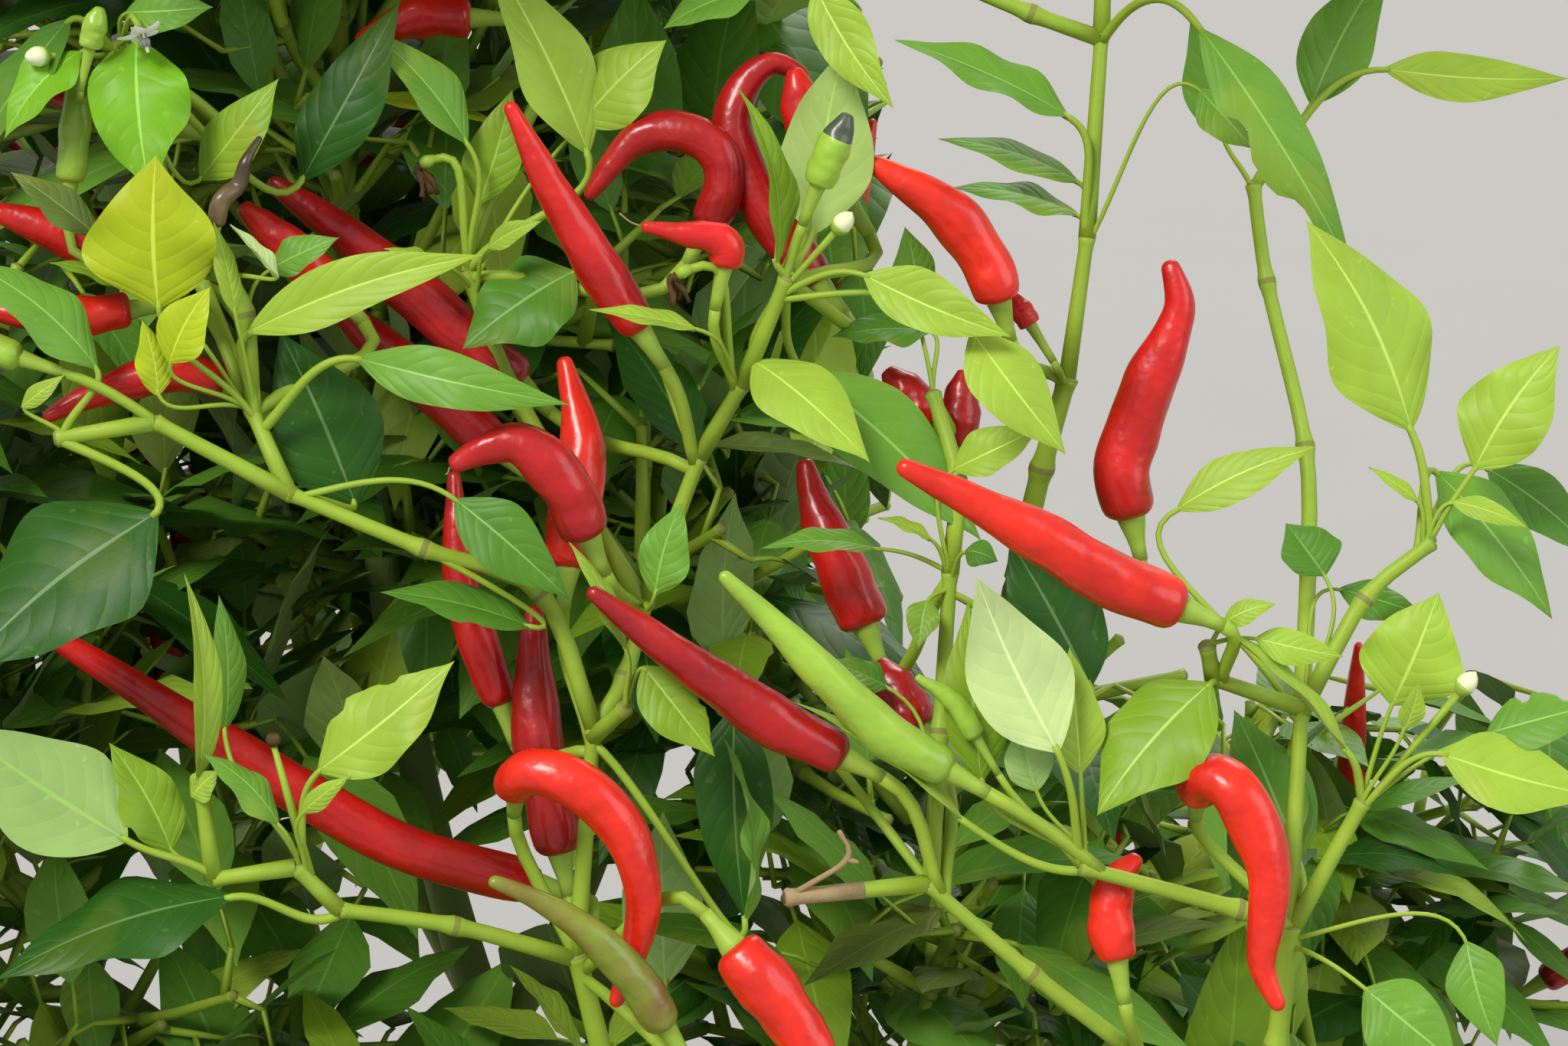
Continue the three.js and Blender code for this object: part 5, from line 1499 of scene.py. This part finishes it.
blossom_looks = [
    plain_material("petal", (0.82, 0.84, 0.74), (0.92, 0.93, 0.88), 0.6, 300.0),
    plain_material("anther", (0.16, 0.17, 0.20), (0.28, 0.26, 0.20), 0.6, 900.0),
    plain_material("bud", (0.62, 0.70, 0.36), (0.78, 0.82, 0.55), 0.5, 400.0),
    plain_material("withered", (0.040, 0.024, 0.010), (0.14, 0.085, 0.035), 0.9, 700.0,
                   Specular_IOR_Level=0.1),
]
bark = bark_material()


def bark_radius(name, share, angle, height):
    """A limb's radius with the relief of its bark, which fades higher up, and the trunk's roots."""
    woody = float(np.clip(1 - height / 260, 0.15, 1))
    x, y = math.cos(angle), math.sin(angle)
    spot = Vector((x * 2.6, y * 2.6, height * 0.035))
    ridges = noise.noise(spot * 1.7) + 0.5 * noise.noise(spot * 3.9)
    lumps = noise.noise(Vector((x * 0.8, y * 0.8, height * 0.06)) * 1.3)
    flare = 0.16 * math.cos(5 * angle + 0.6) * math.exp(-share / 0.07) if name == "trunk" else 0
    return limb_radius(name, share) * (1 + woody * (0.055 * ridges + 0.07 * lumps) + flare)


def bark_limb(name):
    """A limb with the bark's relief, along the source's own curve and radius. The trunk starts flat
    on the ground, and the others end round."""
    is_trunk = name == "trunk"
    rows, sides = (150, 44) if is_trunk else (46, 18)
    shares = np.linspace(0, 1, rows)
    line = bezier(limb_line(name), shares)
    if is_trunk:
        line[0, 2] = 0
        keep = line[:, 2] >= 0
        line, shares = line[keep], shares[keep]
    along, across, ridge = rings_along(line)
    if is_trunk:
        along[0] = UP
        across = np.array([unit(VIEW_RIGHT - d * d[0]) for d in along])
        ridge = np.cross(along, across)
    angles = np.linspace(0, 2 * math.pi, sides, endpoint=False)
    radii = np.array([[bark_radius(name, share, angle, place[2]) for angle in angles]
                      for share, place in zip(shares, line)])
    if not is_trunk:
        radii[-4:] *= np.array([0.99, 0.95, 0.85, 0.6])[:, None]
    points = line[:, None] + circle(across, ridge, sides) * radii[:, :, None]
    if is_trunk:
        points[..., 2] = np.maximum(points[..., 2], 0)
    rims = np.zeros(len(line) * sides + 2, bool)
    rims[:sides] = is_trunk
    heap = Heap()
    skin(heap, points, (line[0], line[-1]), 0, rims)
    return heap


def place_piece(heap, name, materials, nodes):
    """Build a piece. nodes are the solids that it stands for."""
    piece = heap.build(name, materials)
    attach(piece, "root")
    if nodes:
        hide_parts(*nodes)


for name in limbs:
    place_piece(bark_limb(name), f"bark_{name}", [bark], [name])
for name, heaps in groups.items():
    blades(heaps.leaves, heaps.fine, FINE_BLADE)
    blades(heaps.leaves, heaps.plain, PLAIN_BLADE)
    place_piece(heaps.leaves, f"foliage_{name}", leaf_looks, GROUPS[name])
    place_piece(heaps.twigs, f"twigs_{name}", stem_looks, [])
    place_piece(heaps.pods, f"pods_{name}", pod_looks, [])
place_piece(blossom, "blossom", blossom_looks, [])


def floor_disc():
    """A wide pale floor at ground level."""
    angles = np.linspace(0, 2 * math.pi, 96, endpoint=False)
    rim = [(FLOOR_RADIUS * math.cos(a), FLOOR_RADIUS * math.sin(a), 0) for a in angles]
    mesh = bpy.data.meshes.new("floor")
    mesh.from_pydata(rim, [], [list(range(len(rim)))])
    mesh.materials.append(plain_material("floor_plaster", *FLOOR_COLOURS, 0.9, 6.0))
    floor = bpy.data.objects.new("floor", mesh)
    bpy.context.scene.collection.objects.link(floor)


def soft_light(name, offset, spread, strength, colour):
    """An even light from the side of an offset. Its spread in degrees softens the shadows."""
    lamp = bpy.data.lights.new(name, "SUN")
    lamp.angle = math.radians(spread)
    lamp.energy = strength
    lamp.color = colour
    holder = bpy.data.objects.new(name, lamp)
    holder.location = Vector(offset) + Vector((0, 0, LIGHT_HEIGHT))
    holder.rotation_euler = (-Vector(offset)).to_track_quat("-Z", "Y").to_euler()
    bpy.context.scene.collection.objects.link(holder)


floor_disc()
soft_light("key", (-0.9, -1.1, 1.7), 20, 2.95, (1.0, 0.97, 0.92))
soft_light("fill", (1.7, -0.8, 0.9), 42, 1.0, (0.92, 0.96, 1.0))
soft_light("rear", (0.4, 1.8, 1.5), 33, 1.45, (1.0, 0.98, 0.94))
world = bpy.data.worlds.new("studio")
world.use_nodes = True
world.node_tree.nodes["Background"].inputs["Color"].default_value = (0.93, 0.91, 0.87, 1)
world.node_tree.nodes["Background"].inputs["Strength"].default_value = 0.66
bpy.context.scene.world = world
bpy.context.scene.view_settings.view_transform = "Standard"

camera_data = bpy.data.cameras.new("camera")
camera_data.sensor_width = SENSOR_WIDTH
camera_data.lens = SENSOR_WIDTH * VIEW_DISTANCE / VIEW_WIDTH
camera_data.clip_start = 0.05
camera = bpy.data.objects.new("camera", camera_data)
axes = Matrix((VIEW_RIGHT, VIEW_UP, TO_VIEWER)).transposed()
camera.matrix_world = Matrix.Translation((VIEW_MIDDLE + TO_VIEWER * VIEW_DISTANCE) * MM) @ axes.to_4x4()
bpy.context.scene.collection.objects.link(camera)
bpy.context.scene.camera = camera

bpy.context.view_layer.update()
